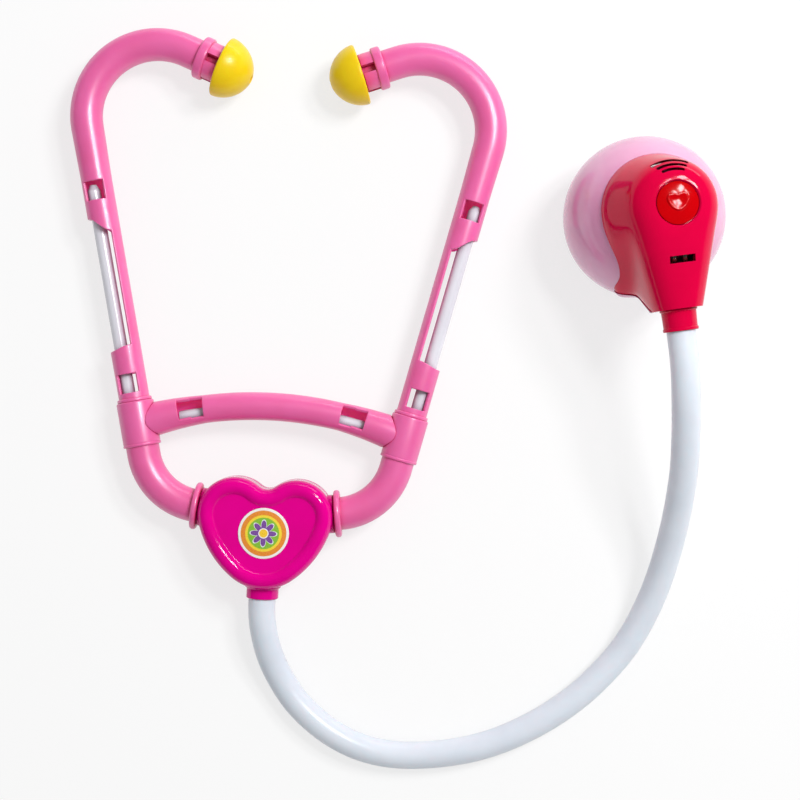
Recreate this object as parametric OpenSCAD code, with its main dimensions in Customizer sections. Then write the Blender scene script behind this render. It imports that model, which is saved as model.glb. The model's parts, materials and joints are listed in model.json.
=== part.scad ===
// Toy stethoscope: headset, heart hub, hose and a ball shaped chest piece.
// Origin at the middle of the heart's flat back, +Y towards the ear tips, +Z away from the table.

/* [Headset] */
// Half of the distance between the two tee collars
tee_x = 53.2; // [48:0.2:58]
// Distance of the tee collars above the heart's middle
tee_y = 40; // [38:0.5:44]
// Length of an ear arm from the tee to the start of its bend
arm_len = 120; // [112:1:135]
// Outward lean of the ear arms
splay = 13; // [10:0.5:16]
// Radius of the bend at the top of an ear arm
bend_r = 28.5; // [25:0.5:32]
// Droop of the ear tips below the crossways line
droop = 21; // [12:1:30]
// Outer diameter of an ear arm
arm_d = 12.2; // [11.8:0.1:13]
// Outer diameter of the bend and the ear end
bend_d = 12.9; // [12.4:0.1:13.6]
// Wall of an ear arm
arm_wall = 1.2; // [1:0.05:1.4]
// Thickness of the flat spine beside the notch
spine_t = 2.9; // [2.4:0.1:3.2]
// Place where the notch starts, along the arm's outer side
notch_lo = 29; // [27:0.5:33]
// Length of the notch along the arm's outer side
notch_len = 56; // [50:1:57]
// Length of the windows in the arms
arm_window = 7.6; // [6:0.2:9]
// Diameter of the white rod in an arm
rod_d = 5.4; // [4.6:0.1:5.6]
// Gap between the white rod and the arm's inner wall
rod_gap = 0.4; // [0.3:0.1:0.8]

/* [Ear tips] */
// Diameter of an ear tip
tip_d = 24.4; // [23:0.2:26]
// Height of an ear tip
tip_h = 13.3; // [12.5:0.1:15]
// Diameter of the sound hole
tip_hole = 3; // [2:0.1:4]
// Diameter of the stem that the tip turns on
stem_d = 9; // [8:0.1:9.6]
// Diameter of the raised ring behind the tip
ring_d = 17.2; // [16.6:0.1:19]
// Width of the raised ring
ring_w = 3.8; // [3:0.1:4.4]
// Diameter of the slotted socket
socket_d = 15.4; // [15:0.1:16.2]
// Length of the slotted socket
socket_l = 5.4; // [4.6:0.1:6.5]

/* [Tees and crossbar] */
// Wall of a tee collar round the arm
collar_wall = 1.3; // [1.2:0.05:1.9]
// Length of a tee collar
collar_l = 18; // [16:0.5:19]
// Rise of the crossbar's arch above the tees
bar_rise = 9.8; // [7:0.2:13]
// Diameter of the crossbar
bar_d = 11.2; // [10.8:0.1:12.2]
// Wall of the crossbar
bar_wall = 1.2; // [1:0.05:1.3]
// Length of the windows in the crossbar
bar_window = 10; // [8:0.5:11]
// Diameter of the white rod in the crossbar
bar_rod_d = 4.8; // [4.2:0.1:5]

/* [Yoke] */
// Diameter of a yoke tube
yoke_d = 13.2; // [12.8:0.1:14.2]
// Wall of a yoke tube in the tee
yoke_wall = 1.4; // [1.2:0.1:1.6]
// Radius of the bend of a yoke tube
yoke_r = 25; // [21:0.5:25.5]
// Diameter of the flange ring
flange_d = 18.9; // [18:0.1:21]
// Thickness of the flange ring
flange_t = 2.5; // [2:0.1:3]
// Slope of the bosses on the heart
boss_tilt = 6.8; // [4:0.2:9]

/* [Heart] */
// Radius of a lobe of the heart
lobe_r = 14.6; // [13.8:0.1:15.4]
// Half of the distance between the lobes
lobe_x = 12.2; // [11.8:0.1:12.8]
// Height of the lobes above the middle
lobe_y = 6.8; // [6.2:0.1:7.4]
// Thickness of the front shell
front_h = 12; // [11:0.1:13]
// Wall of the heart
heart_wall = 2; // [1.6:0.1:2.2]
// Width of the rounded rim round the recess
rim_w = 7.2; // [6.6:0.1:7.8]
// Depth of the recess
recess = 1.6; // [1.2:0.1:1.8]
// Diameter of the hose nozzles
nozzle_d = 12.8; // [12.6:0.1:13.6]
// Reach of the nozzle's mouth past the heart's tip
nozzle_reach = 4.2; // [3.6:0.1:6.4]

/* [Hose] */
// Outer diameter of the hose
hose_d = 10.8; // [10:0.1:11]
// Inner diameter of the hose
hose_bore = 8.2; // [7.6:0.1:8.4]

/* [Chest piece] */
// Radius of the pink ball
ball_r = 31.5; // [30.8:0.1:32.5]
// Wall of the ball and the back cover
ball_wall = 2; // [1.6:0.1:2.2]
// Height of the cap that the flat front takes off the ball
face_drop = 10; // [9:0.1:10.5]
// Height of the back cover's top above the ball's top
cover_top = 14.7; // [13.5:0.1:16.5]
// Radius of the back cover where it meets the ball
cover_r = 21; // [20:0.1:22]
// Reach of the neck's end past the ball's side
neck_l = 6.3; // [5.5:0.1:8.5]
// Height of the neck's end above the seam of ball and cover
neck_h = 6.52; // [5.5:0.02:7.5]
// Radius of the neck's end
neck_r = 8; // [7.8:0.1:8.4]
// Length of the chest nozzle
nozzle_l = 8.2; // [7.5:0.1:9]
// Radius of the push button
button_r = 7.9; // [7:0.1:8.2]
// Travel of the push button
button_travel = 1.2; // [0.8:0.1:1.3]
// Width of the tab slot in the neck
slot_w = 9.6; // [8:0.1:11]
// Height of the tab slot
slot_h = 2.6; // [2:0.1:3.2]
// Lean of the chest piece on the table
chest_lean = 6; // [4:0.5:7]
// Turn of the chest piece seen from above
chest_turn = 10.7; // [8:0.1:13]
// Sideways place of the chest piece
chest_x = 142; // [140:0.5:146]
// Place of the chest piece along the headset
chest_y = 132; // [128:0.5:136]

/* [Hidden] */

// Overrun of cuts and half spaces
far = 400;
// Running clearance of round fits
fit = 0.05;
// Clearance between pieces that do not fit each other
gap = 0.3;
// Length by which the straight runs of a tube reach into its bends
lap = 0.5;
// Smoothness of round shapes, and of the round shapes inside a hull
fine = 64;
hull_fine = 32;

// Height of the headset's middle plane: the ear tips just touch the table
plane_h = tip_d / 2;
arm_bore = arm_d - 2 * arm_wall;
rod_off = arm_bore / 2 - rod_d / 2 - rod_gap;
collar_d = arm_d + 2 * collar_wall;
spine_x = spine_t - arm_d / 2;

// Notch: the inner ends lie higher at the foot and lower at the top
notch_foot_rise = 2.6;
notch_top_drop = 7.5;
notch_hi = notch_lo + notch_len;
// Windows of the arm: gap to the collar, gap to the notch, wall left outside
window_gaps = [3.6, 5.4];
window_lo = collar_l / 2 + window_gaps[0];
window_hi = notch_hi + window_gaps[1];
window_rim = 1.4;
// Ring on the arm that rests on the tee collar
seat_ring_w = 0.6;
seat_ring_d = arm_d + 2 * seat_ring_w;
seat_ring_t = 1.3;
// Depth of the arm and the yoke in the collar
plug_depth = 7;
// Plain part of the arm above the upper window before its taper
taper_gap = 2;
taper_from = window_hi + arm_window + taper_gap;

// Webs that carry the white rod
web_t = 2.4;
rod_clear = 0.1;
rod_low_gap = 1.6;
rod_short = 1;
rod_foot = window_lo - rod_low_gap;
rod_head = window_hi + arm_window - rod_short;
web_low_gap = 1.6;
web_high_gap = 1;
rod_nose = 2.4;

// Ear end, measured from the end of the bend
ring_at = 5.6;
socket_at = ring_at + ring_w;
socket_wall = 1.8;
socket_slots = 4;
socket_slot_w = 3;
tip_at = socket_at + socket_l + gap;
tip_web = 3;
cave_gap = 0.8;
lip_proud = 0.4;
tip_cave_r = stem_d / 2 + cave_gap;
lip_r = stem_d / 2 + lip_proud;
lip_t = 1.6;
stem_end = tip_at + tip_web + gap + lip_t;
stem_bore = 4.6;
cave_h = lip_t + 2 * gap;
tip_skirt = 0.6;

// Tee, crossbar and yoke
bar_r = (tee_x * tee_x + bar_rise * bar_rise) / (2 * bar_rise);
bar_angle = asin(tee_x / bar_r);
bar_y = tee_y + bar_rise;
bar_bore = bar_d - 2 * bar_wall;
stub_clear = 0.8;
stub_d = bar_bore - stub_clear;
stub_l = 6;
bar_window_x = 32.2;
bar_window_wide = 8;
bar_window_up = 1;
bar_rod_drop = 1.6;
bar_rod_end = 5.4;
spigot_d = arm_d;
yoke_bore = spigot_d - 2 * yoke_wall;
arm_dir = [sin(splay), cos(splay)];
boss_dir = [cos(boss_tilt), sin(boss_tilt)];
boss_x = 27;
boss_y = 8.4;
boss_p = [boss_x, boss_y];
tee_p = [tee_x, tee_y];
knee_drop = cross(tee_p - boss_p, boss_dir) / cross(arm_dir, boss_dir);
knee_out = cross(tee_p - boss_p, arm_dir) / cross(boss_dir, arm_dir);
knee = tee_p - knee_drop * arm_dir;
yoke_turn = 90 - splay - boss_tilt;
yoke_tangent = yoke_r * tan(yoke_turn / 2);
yoke_start = knee + yoke_tangent * arm_dir;
yoke_middle = yoke_start + yoke_r * [-cos(splay), sin(splay)];
yoke_neck_d = 10.6;
yoke_lip_d = 12.4;
yoke_lip_t = 1.8;
boss_d = 15.4;
lip_at = 2.9;
boss_deep = lip_at + yoke_lip_t + gap;
yoke_neck_bore = 7;

// Bend of the ear arm
bend_start = tee_p + arm_len * arm_dir;
bend_middle = bend_start + bend_r * [-cos(splay), sin(splay)];
bend_end = bend_middle + bend_r * [cos(90 + droop), sin(90 + droop)];

// Heart outline: two lobes, and sides that bulge on a large radius
side_r = 40;
side_tilt = 15;
side_c = [side_r - lobe_r, 0];
side_x = -lobe_x + (side_r - lobe_r) * cos(side_tilt);
side_y = lobe_y + (side_r - lobe_r) * sin(side_tilt);
side_puck = 10;
side_turns = [210, 225, 240];
tip_drop = (side_r - side_puck) * sin(side_turns[2] - 180) + side_puck - side_y;
nozzle_y = tip_drop + nozzle_reach;
middle = [1.5, -4];
notch_r = 8.4;
notch_rise = 2.2;
notch_y = lobe_y + notch_rise;
edge_r = 8;
recess_edge = 1;
screw_d = 2.6;
screw_bite = 6.5;
screw_head_d = 5.2;
screw_head_t = 2;
pillar_d = 7.4;
sink_d = 5.8;
sink_deep = 4;
// Nozzle and hose plug
nozzle_bore = hose_d + 2 * fit;
hose_deep = 7;
shoulder_t = 2;
plug_d = hose_bore;
plug_head_d = 11.2;
plug_head_t = 1.6;
plug_l = 9;
plug_clear = 0.4;
plug_hole = plug_d + plug_clear;
shoulder_at = nozzle_y - hose_deep - shoulder_t;
// Screws of the heart: one in each lobe and one behind the hose plug
screw_behind = 7.3;
screw_places = [[-lobe_x, lobe_y], [lobe_x, lobe_y], [0, screw_behind - shoulder_at]];
badge_d = 20;
badge_t = 0.3;

// Chest piece, in its own frame: ball's middle at zero, +Z to the button, -Y to the nozzle.
// The front, the rim, the cover's top, the seam and the neck's end are all placed from the ball.
inner_r = ball_r - ball_wall;
face_h = ball_r - face_drop;
rim_step = 3;
rim_h = face_h - rim_step;
rim_inner_r = sqrt(inner_r * inner_r - rim_h * rim_h);
cover_peak = ball_r + cover_top;
seam_h = sqrt(ball_r * ball_r - cover_r * cover_r);
neck_end = ball_r + neck_l;
neck_mid = seam_h + neck_h;
top_hole_r = 11;
face_r = sqrt(ball_r * ball_r - face_h * face_h);
chest_h = face_h * cos(chest_lean) + face_r * sin(chest_lean);
shoulder_r = 16;
shoulder_edge = 7;
cover_skirt = 6.5;
cover_foot = seam_h - cover_skirt;
seam_lip = 0.6;
keel_y = -12;
keel_h = 0;
keel_inset = 1.5;
keel_r = ball_r + keel_y - keel_inset;
// Pink strip under the neck: slope of the underside, and how deep the strip reaches into the neck
strip_t = 2.4;
keel_reach = [neck_end + keel_y, neck_mid - neck_r - keel_h];
strip_slope = atan2(keel_reach[1], keel_reach[0]) + asin(keel_r / norm(keel_reach));
// Slope of the inside of the neck's top
roof_from = [shoulder_r - shoulder_edge, cover_peak - shoulder_edge];
roof_to = [neck_end, neck_mid + neck_r];
roof_reach = [roof_to[0] - ball_wall - roof_from[0], roof_from[1] - roof_to[1] + ball_wall];
roof_slope = atan2(roof_reach[1], roof_reach[0]) + asin((shoulder_edge - ball_wall) / norm(roof_reach));
button_clear = 0.3;
button_flange = 1.3;
button_flange_t = 1.4;
button_proud = 0.8;
button_skirt = 3;
plunger_r = 1.8;
board = [22, 12, 1.6];
// Gap of a flat piece that rests on the ball's round wall
rest = 0.1;
board_h = sqrt(ball_r * ball_r - top_hole_r * top_hole_r) + rest;
board_top = board_h + board[2];
switch_size = [6, 6, 3.4];
switch_stem_d = 3.4;
switch_stem_l = 1.4;
stem_top = board_top + switch_size[2] + switch_stem_l;
flange_h = cover_peak - ball_wall - gap - button_flange_t;
plunger_end = stem_top + gap + button_travel;
spring_r = 5;
spring_wire = 0.7;
spring_turns = 4.5;
speaker_r = 12;
speaker_t = 5;
speaker_h = sqrt(inner_r * inner_r - speaker_r * speaker_r) - rest;
magnet_r = 7.5;
magnet_t = 3.6;
cone_r = 9.6;
slot_back = 17.7;
slot_y = slot_back - neck_end;
leaf = [2.8, 5, 0.4];
leaf_shift = 0.6;
leaf_y = slot_y + leaf_shift;
leaf_apart = 2.2;
leaf_rib = 1.2;
// The leaves lie under the inside of the roof, as deep as its round section asks at their outer edges
neck_inner_r = neck_r - ball_wall;
leaf_edge = leaf_apart + leaf[0] / 2;
leaf_drop = neck_inner_r - sqrt(neck_inner_r * neck_inner_r - leaf_edge * leaf_edge) + gap;
roof_h = roof_to[1] - ball_wall + (neck_end - ball_wall + leaf_y) * tan(roof_slope);
arc_radii = [12.4, 14.2, 16];
arc_angles = [20, 23, 26];
arc_w = 1;
arc_deep = 9;
pillar_in = 6.5;
pillars = [[-14, 7], [14, 7], [0, pillar_in - ball_r]];
pillar_r = 2.8;
seat_r = 3.2;
// Batteries and front
cell_d = 11.6;
cell_t = 5.4;
cell_ring = 7;
bay_r = cell_ring + cell_d / 2 + gap;
bay_wall = 1.4;
door_t = 1.6;
door_lap = 1.6;
door_r = bay_r + door_lap;
leaf_t = 0.3;
cell_play = 0.2;
bay_top = face_h - door_t - gap - cell_t - leaf_t - cell_play;
lug_r = 4;
lug_out = 1;
lug_y = door_r + lug_out;
lug_boss_in = 1;
lug_boss_over = 1;
base_screw_turns = [30, 150, 270];
base_boss_r = 2.8;
base_boss_l = 9;
base_boss_gap = 0.18;
boss_blind = 1;
base_screw_r = rim_inner_r - base_boss_r - base_boss_gap;
base_t = rim_step;
door_screw_l = 5;
base_screw_short = 3;
base_screw_l = base_t + base_boss_l - base_screw_short;

// Middle line of the hose's free stretch, from the heart's nozzle to the chest nozzle
hose_route = [
    [0.5, -36, 11.7], [2.4, -45, 9.8], [5.5, -53.5, 7.4], [9.8, -61.2, 5.9], [15.2, -68.4, 5.6],
    [22.6, -75.2, 5.6], [31.6, -81.2, 5.6], [42.6, -85.8, 5.6], [55, -87.9, 5.6], [68, -87.5, 5.6],
    [82, -85.2, 5.6], [95, -81.2, 5.6], [108, -75, 5.6], [121, -66.6, 5.6], [134, -55.2, 5.6],
    [147.5, -38, 6.2], [156.5, -16, 10.8], [160.5, 8, 21], [161, 30.5, 34], [159.5, 47, 43],
    [157.5, 62, 49.6], [155.9, 74, 52.2]];
hose_straight = 3;
hose_sides = 12;

module along_y(l, r1, r2) { rotate([-90, 0, 0]) cylinder(h = l, r1 = r1, r2 = r2, $fn = fine); }
module along_x(l, r) { rotate([0, 90, 0]) cylinder(h = l, r = r, $fn = fine); }
module half_space() { translate([-far / 2, -far / 2, 0]) cube(far); }
module arm_frame() { translate([tee_x, tee_y, plane_h]) rotate([0, 0, -splay]) children(); }
module tip_frame() { translate([bend_end[0], bend_end[1], plane_h]) rotate([0, 0, 180 + droop]) children(); }
module boss_frame() { translate([boss_p[0], boss_p[1], plane_h]) rotate([0, 0, boss_tilt]) children(); }
module bar_frame() { translate([0, bar_y - bar_r, plane_h]) children(); }
module chest_frame() {
    translate([chest_x, chest_y, chest_h]) rotate([0, chest_lean, 0]) rotate([0, 0, chest_turn]) children();
}

// Round disc with a rounded upper edge, from the zero plane up
module puck(r, h, edge) {
    rotate_extrude($fn = hull_fine) intersection() {
        union() {
            square([r - edge, h]);
            square([r, h - edge]);
            translate([r - edge, h - edge]) circle(edge, $fn = hull_fine);
        }
        square([r, h]);
    }
}

// One end of a window: a box across the tube in the arm's frame
module arm_slot(from, low, through) {
    wide = arm_d - spine_t - window_rim;
    translate([spine_x, from, low]) cube([wide, arm_window, through]);
}

module ear_arm() {
    color("pink") difference() {
        union() {
            arm_frame() {
                translate([0, collar_l / 2 - plug_depth, 0])
                    along_y(taper_from - collar_l / 2 + plug_depth, arm_d / 2, arm_d / 2);
                translate([0, taper_from, 0])
                    along_y(arm_len - taper_from + lap, arm_d / 2, bend_d / 2 + fit);
                translate([0, collar_l / 2, 0]) along_y(seat_ring_t, seat_ring_d / 2, seat_ring_d / 2);
            }
            translate([bend_middle[0], bend_middle[1], plane_h]) rotate([0, 0, -splay])
                rotate_extrude(angle = 90 + droop + splay, $fn = fine * 2)
                    translate([bend_r, 0]) circle(bend_d / 2, $fn = fine);
            tip_frame() {
                translate([-lap, 0, 0]) along_x(ring_at + 2 * lap, bend_d / 2 + fit);
                translate([ring_at, 0, 0]) along_x(ring_w, ring_d / 2);
                translate([socket_at, 0, 0]) along_x(socket_l, socket_d / 2);
                translate([socket_at, 0, 0]) along_x(stem_end - lip_t - socket_at, stem_d / 2);
                translate([stem_end - lip_t, 0, 0]) along_x(lip_t, lip_r);
            }
        }
        arm_frame() {
            difference() {
                translate([0, collar_l / 2 - plug_depth - gap, 0])
                    along_y(arm_len - collar_l / 2 + plug_depth + gap + lap, arm_bore / 2, arm_bore / 2);
                for (at = [rod_foot - web_t, notch_lo - web_t - web_low_gap, notch_hi + web_high_gap])
                    translate([0, at, 0]) difference() {
                        along_y(web_t, arm_d / 2, arm_d / 2);
                        translate([rod_off, -gap, 0])
                            along_y(web_t + 2 * gap, rod_d / 2 + rod_clear, rod_d / 2 + rod_clear);
                    }
            }
            translate([0, 0, -far / 2]) linear_extrude(height = far) polygon([
                [spine_x, notch_lo + notch_foot_rise], [arm_d, notch_lo],
                [arm_d, notch_hi], [spine_x, notch_hi - notch_top_drop]]);
            arm_slot(window_lo, -arm_d, 2 * arm_d);
            arm_slot(window_hi, 0, arm_d);
        }
        translate([bend_middle[0], bend_middle[1], plane_h]) rotate([0, 0, -splay])
            rotate_extrude(angle = 90 + droop + splay, $fn = fine * 2)
                translate([bend_r, 0]) circle(arm_bore / 2 + fit, $fn = fine);
        tip_frame() {
            translate([-lap, 0, 0]) along_x(ring_at - gap + lap, arm_bore / 2);
            along_x(far / 8, stem_bore / 2);
            difference() {
                translate([socket_at, 0, 0]) along_x(socket_l + gap, socket_d / 2 - socket_wall);
                along_x(stem_end, stem_d / 2);
            }
            for (k = [0 : socket_slots - 1]) rotate([k * 360 / socket_slots, 0, 0])
                translate([socket_at + gap, -socket_slot_w / 2, stem_d / 2 + gap])
                    cube([socket_l, socket_slot_w, socket_d]);
        }
    }
}

module ear_tip() {
    arc_r = (tip_h * tip_h + tip_d * tip_d / 4) / tip_d;
    color("gold") tip_frame() translate([tip_at, 0, 0]) rotate([0, 90, 0]) rotate_extrude($fn = fine)
        difference() {
            intersection() {
                translate([tip_d / 2 - arc_r, 0]) circle(arc_r, $fn = fine);
                square([tip_d / 2, tip_h]);
            }
            square([stem_d / 2 + fit, tip_web + tip_skirt]);
            translate([0, tip_web]) square([tip_cave_r, cave_h]);
            square([tip_hole / 2, 2 * tip_h]);
        }
}

module inner_rod() {
    color("whitesmoke") arm_frame() translate([rod_off, rod_foot - web_t, 0]) {
        along_y(rod_head - rod_foot + web_t - rod_nose, rod_d / 2, rod_d / 2);
        translate([0, rod_head - rod_foot + web_t - rod_nose, 0]) along_y(rod_nose, rod_d / 2, rod_d / 4);
    }
}

module tee() {
    color("hotpink") difference() {
        union() {
            arm_frame() translate([0, -collar_l / 2, 0]) along_y(collar_l, collar_d / 2, collar_d / 2);
            translate([tee_x, tee_y, plane_h]) rotate([0, 0, 180 - bar_angle])
                along_x(collar_d / 2 + stub_l, stub_d / 2);
        }
        arm_frame() translate([0, -collar_l, 0]) along_y(2 * collar_l, arm_d / 2 + fit, arm_d / 2 + fit);
    }
}

module bar_ring(from, to, r) {
    bar_frame() rotate([0, 0, 90 - to]) rotate_extrude(angle = to - from, $fn = fine * 4)
        translate([bar_r, 0]) circle(r, $fn = fine);
}

module crossbar() {
    color("hotpink") difference() {
        bar_ring(-bar_angle, bar_angle, bar_d / 2);
        bar_ring(-bar_angle, bar_angle, bar_bore / 2);
        for (side = [-1, 1]) bar_frame() rotate([0, 0, -side * asin(bar_window_x / bar_r)])
            translate([-bar_window / 2, bar_r + bar_window_up - bar_window_wide / 2, 0])
                cube([bar_window, bar_window_wide, bar_d]);
        for (side = [0, 1]) mirror([side, 0, 0]) arm_frame()
            translate([0, -collar_l, 0]) along_y(2 * collar_l, collar_d / 2 + fit, collar_d / 2 + fit);
    }
}

module crossbar_rod() {
    reach = asin((tee_x - collar_d / 2 - stub_l - bar_rod_end / 2) / bar_r);
    color("whitesmoke") bar_frame() rotate([0, 0, 90 - reach])
        rotate_extrude(angle = 2 * reach, $fn = fine * 4)
            translate([bar_r - bar_rod_drop, 0]) circle(bar_rod_d / 2, $fn = fine);
}

module yoke_tube() {
    straight_top = knee_drop - yoke_tangent - collar_l / 2;
    straight_foot = knee_out - yoke_tangent;
    color("pink") difference() {
        union() {
            arm_frame() {
                translate([0, -collar_l / 2 - straight_top - lap, 0])
                    along_y(straight_top + lap, yoke_d / 2 + fit, yoke_d / 2 + fit);
                translate([0, -collar_l / 2 - lap, 0]) along_y(plug_depth + lap, spigot_d / 2, spigot_d / 2);
            }
            translate([yoke_middle[0], yoke_middle[1], plane_h]) rotate([0, 0, boss_tilt - 90])
                rotate_extrude(angle = yoke_turn, $fn = fine * 2)
                    translate([yoke_r, 0]) circle(yoke_d / 2, $fn = fine);
            boss_frame() {
                along_x(straight_foot + lap, yoke_d / 2 + fit);
                along_x(flange_t, flange_d / 2);
                translate([-lip_at, 0, 0]) along_x(lip_at, yoke_neck_d / 2);
                translate([-lip_at - yoke_lip_t, 0, 0]) along_x(yoke_lip_t, yoke_lip_d / 2);
            }
        }
        arm_frame() translate([0, -collar_l / 2 - straight_top - lap, 0])
            along_y(straight_top + plug_depth + gap + lap, yoke_bore / 2, yoke_bore / 2);
        translate([yoke_middle[0], yoke_middle[1], plane_h]) rotate([0, 0, boss_tilt - 90])
            rotate_extrude(angle = yoke_turn, $fn = fine * 2)
                translate([yoke_r, 0]) circle(yoke_bore / 2 + fit, $fn = fine);
        boss_frame() translate([-lip_at - yoke_lip_t - gap, 0, 0])
            along_x(lip_at + yoke_lip_t + straight_foot + gap + lap, yoke_neck_bore / 2);
    }
}

// Left half of the heart above its parting plane, drawn in by an inset
module heart_side(h, inset, edge) {
    hull() {
        translate([-lobe_x, lobe_y, 0]) puck(lobe_r - inset, h, edge);
        for (turn = side_turns)
            translate([side_x + (side_r - side_puck) * cos(turn), side_y + (side_r - side_puck) * sin(turn), 0])
                puck(side_puck - inset, h, min(edge, side_puck - inset));
        translate([middle[0], middle[1], 0]) puck(side_puck - inset, h, min(edge, side_puck - inset));
        translate([0, notch_y, 0]) puck(notch_r - inset, h, min(edge, notch_r - inset));
    }
}

module heart_half(h, inset, edge) {
    heart_side(h, inset, edge);
    mirror([1, 0, 0]) heart_side(h, inset, edge);
}

module nozzle_down(from, to, r) { translate([0, -to, 0]) along_y(to - from, r, r); }

module both_bosses(from, to, r) {
    for (side = [0, 1]) mirror([side, 0, 0]) translate([0, 0, -plane_h]) boss_frame()
        translate([from, 0, 0]) along_x(to - from, r);
}

// What both shells have in common, above the parting plane
module heart_shell(h, hollow) {
    difference() {
        union() {
            difference() {
                heart_half(h, 0, edge_r);
                heart_half(hollow, heart_wall, edge_r - heart_wall);
            }
            nozzle_down(shoulder_at, nozzle_y, nozzle_d / 2);
            both_bosses(-boss_deep, 0, boss_d / 2);
            for (place = screw_places) translate([place[0], place[1], 0])
                cylinder(h = hollow + heart_wall / 2, d = pillar_d, $fn = fine);
        }
        translate([0, 0, -far]) half_space();
        nozzle_down(nozzle_y - hose_deep, nozzle_y + hose_deep, nozzle_bore / 2);
        nozzle_down(shoulder_at - gap, nozzle_y, plug_hole / 2);
        both_bosses(-boss_deep - gap, boss_deep, yoke_neck_d / 2 + fit);
        both_bosses(-boss_deep - gap, -lip_at + gap, yoke_lip_d / 2 + gap);
    }
}

module heart_front() {
    hollow = front_h - recess - heart_wall;
    color("deeppink") translate([0, 0, plane_h]) difference() {
        heart_shell(front_h, hollow);
        translate([0, 0, front_h - recess]) heart_half(recess * 2, rim_w, recess_edge);
        for (place = screw_places) translate([place[0], place[1], -gap])
            cylinder(h = screw_bite + 2 * gap, d = screw_d + 2 * fit, $fn = fine);
    }
}

module heart_back() {
    color("deeppink") translate([0, 0, plane_h]) mirror([0, 0, 1]) difference() {
        heart_shell(plane_h, plane_h - heart_wall);
        for (place = screw_places) translate([place[0], place[1], 0]) {
            cylinder(h = far, d = screw_d + 2 * gap, center = true, $fn = fine);
            translate([0, 0, plane_h - sink_deep]) cylinder(h = far, d = sink_d, $fn = fine);
        }
    }
}

// A screw along +Z: its head's outer face at zero
module screw(shank, head, head_t, l) {
    cylinder(h = head_t, d = head, $fn = fine);
    cylinder(h = l, d = shank, $fn = fine);
}

module heart_screws() {
    color("silver") for (place = screw_places) translate([place[0], place[1], sink_deep - screw_head_t])
        screw(screw_d, screw_head_d, screw_head_t, plane_h - sink_deep + screw_head_t + screw_bite);
}

module heart_badge() {
    color("orange") translate([0, 0, plane_h + front_h - recess]) cylinder(h = badge_t, d = badge_d, $fn = fine);
}

// Plug that points down -Y, with the inner side of its head at zero
module hose_plug(wall) {
    mirror([0, 1, 0]) translate([0, -plug_head_t, 0]) difference() {
        union() {
            along_y(plug_head_t, plug_head_d / 2, plug_head_d / 2);
            along_y(plug_head_t + wall + plug_l, plug_d / 2, plug_d / 2);
        }
        translate([0, -gap, 0]) along_y(far / 8, plug_d / 4, plug_d / 4);
    }
}

module heart_hose_plug() {
    color("white") translate([0, -shoulder_at, plane_h]) hose_plug(shoulder_t);
}

function unit(v) = v / norm(v);
// Smooth curve through the chosen points
function on_curve(p, i, t) = let (
    a = p[max(i - 1, 0)], b = p[i], c = p[i + 1], d = p[min(i + 2, len(p) - 1)])
    0.5 * ((2 * b) + (c - a) * t + (2 * a - 5 * b + 4 * c - d) * t * t
        + (3 * b - a - 3 * c + d) * t * t * t);
function heading(path, i) = unit(path[min(i + 1, len(path) - 1)] - path[max(i - 1, 0)]);
function across(dir) = unit(cross(dir, abs(dir[2]) > 0.9 ? [1, 0, 0] : [0, 0, 1]));

// Closed tube of a round section swept along a path
module tube_along(path, r, sides) {
    rings = len(path);
    points = [for (i = [0 : rings - 1]) let (
        dir = heading(path, i), u = across(dir), v = cross(dir, u))
        for (k = [0 : sides - 1]) path[i] + r * (cos(k * 360 / sides) * u + sin(k * 360 / sides) * v)];
    walls = [for (i = [0 : rings - 2], k = [0 : sides - 1]) let (n = (k + 1) % sides)
        each [[i * sides + k, i * sides + n, (i + 1) * sides + k],
            [i * sides + n, (i + 1) * sides + n, (i + 1) * sides + k]]];
    polyhedron(points, concat(walls, [[for (k = [sides - 1 : -1 : 0]) k]],
        [[for (k = [0 : sides - 1]) (rings - 1) * sides + k]]));
}

// Place in the part's frame of a point in the chest piece's frame
function chest_point(p) = let (
    x = p[0] * cos(chest_turn) - p[1] * sin(chest_turn),
    y = p[0] * sin(chest_turn) + p[1] * cos(chest_turn),
    z = p[2])
    [chest_x + x * cos(chest_lean) + z * sin(chest_lean), chest_y + y,
        chest_h - x * sin(chest_lean) + z * cos(chest_lean)];

module hose() {
    points = concat(
        [for (y = [nozzle_y - hose_deep, nozzle_y, nozzle_y + hose_straight]) [0, -y, plane_h]],
        hose_route,
        [for (y = [nozzle_l + hose_straight, nozzle_l, nozzle_l - hose_deep])
            chest_point([0, -neck_end - y, neck_mid])]);
    path = [for (i = [0 : len(points) - 2], t = [0, 0.5]) on_curve(points, i, t), points[len(points) - 1]];
    color("white") tube_along(path, hose_d / 2, hose_sides);
}

// Pear shape of the back cover, drawn in by an inset
module pear(inset) {
    hull() {
        translate([0, 0, cover_foot + inset])
            cylinder(h = seam_h + seam_lip - cover_foot, r = cover_r - inset, $fn = hull_fine);
        puck(shoulder_r - inset, cover_peak - inset, shoulder_edge - inset);
        translate([0, -neck_end + inset, neck_mid]) rotate([-90, 0, 0])
            cylinder(h = neck_r, r = neck_r - inset, $fn = hull_fine);
        translate([0, keel_y, keel_h]) sphere(keel_r - inset, $fn = hull_fine);
    }
}

// Space outside the slanted plane that parts the pink strip from the red cover
module below_strip(lift) {
    translate([0, -neck_end, neck_mid - neck_r]) rotate([180 - strip_slope, 0, 0])
        translate([0, 0, -strip_t - lift]) half_space();
}

module neck_tube(from, to, r) { translate([0, -to, neck_mid]) along_y(to - from, r, r); }
function seat_h(place) = sqrt(inner_r * inner_r - pow(norm(place) + seat_r, 2));

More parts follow.
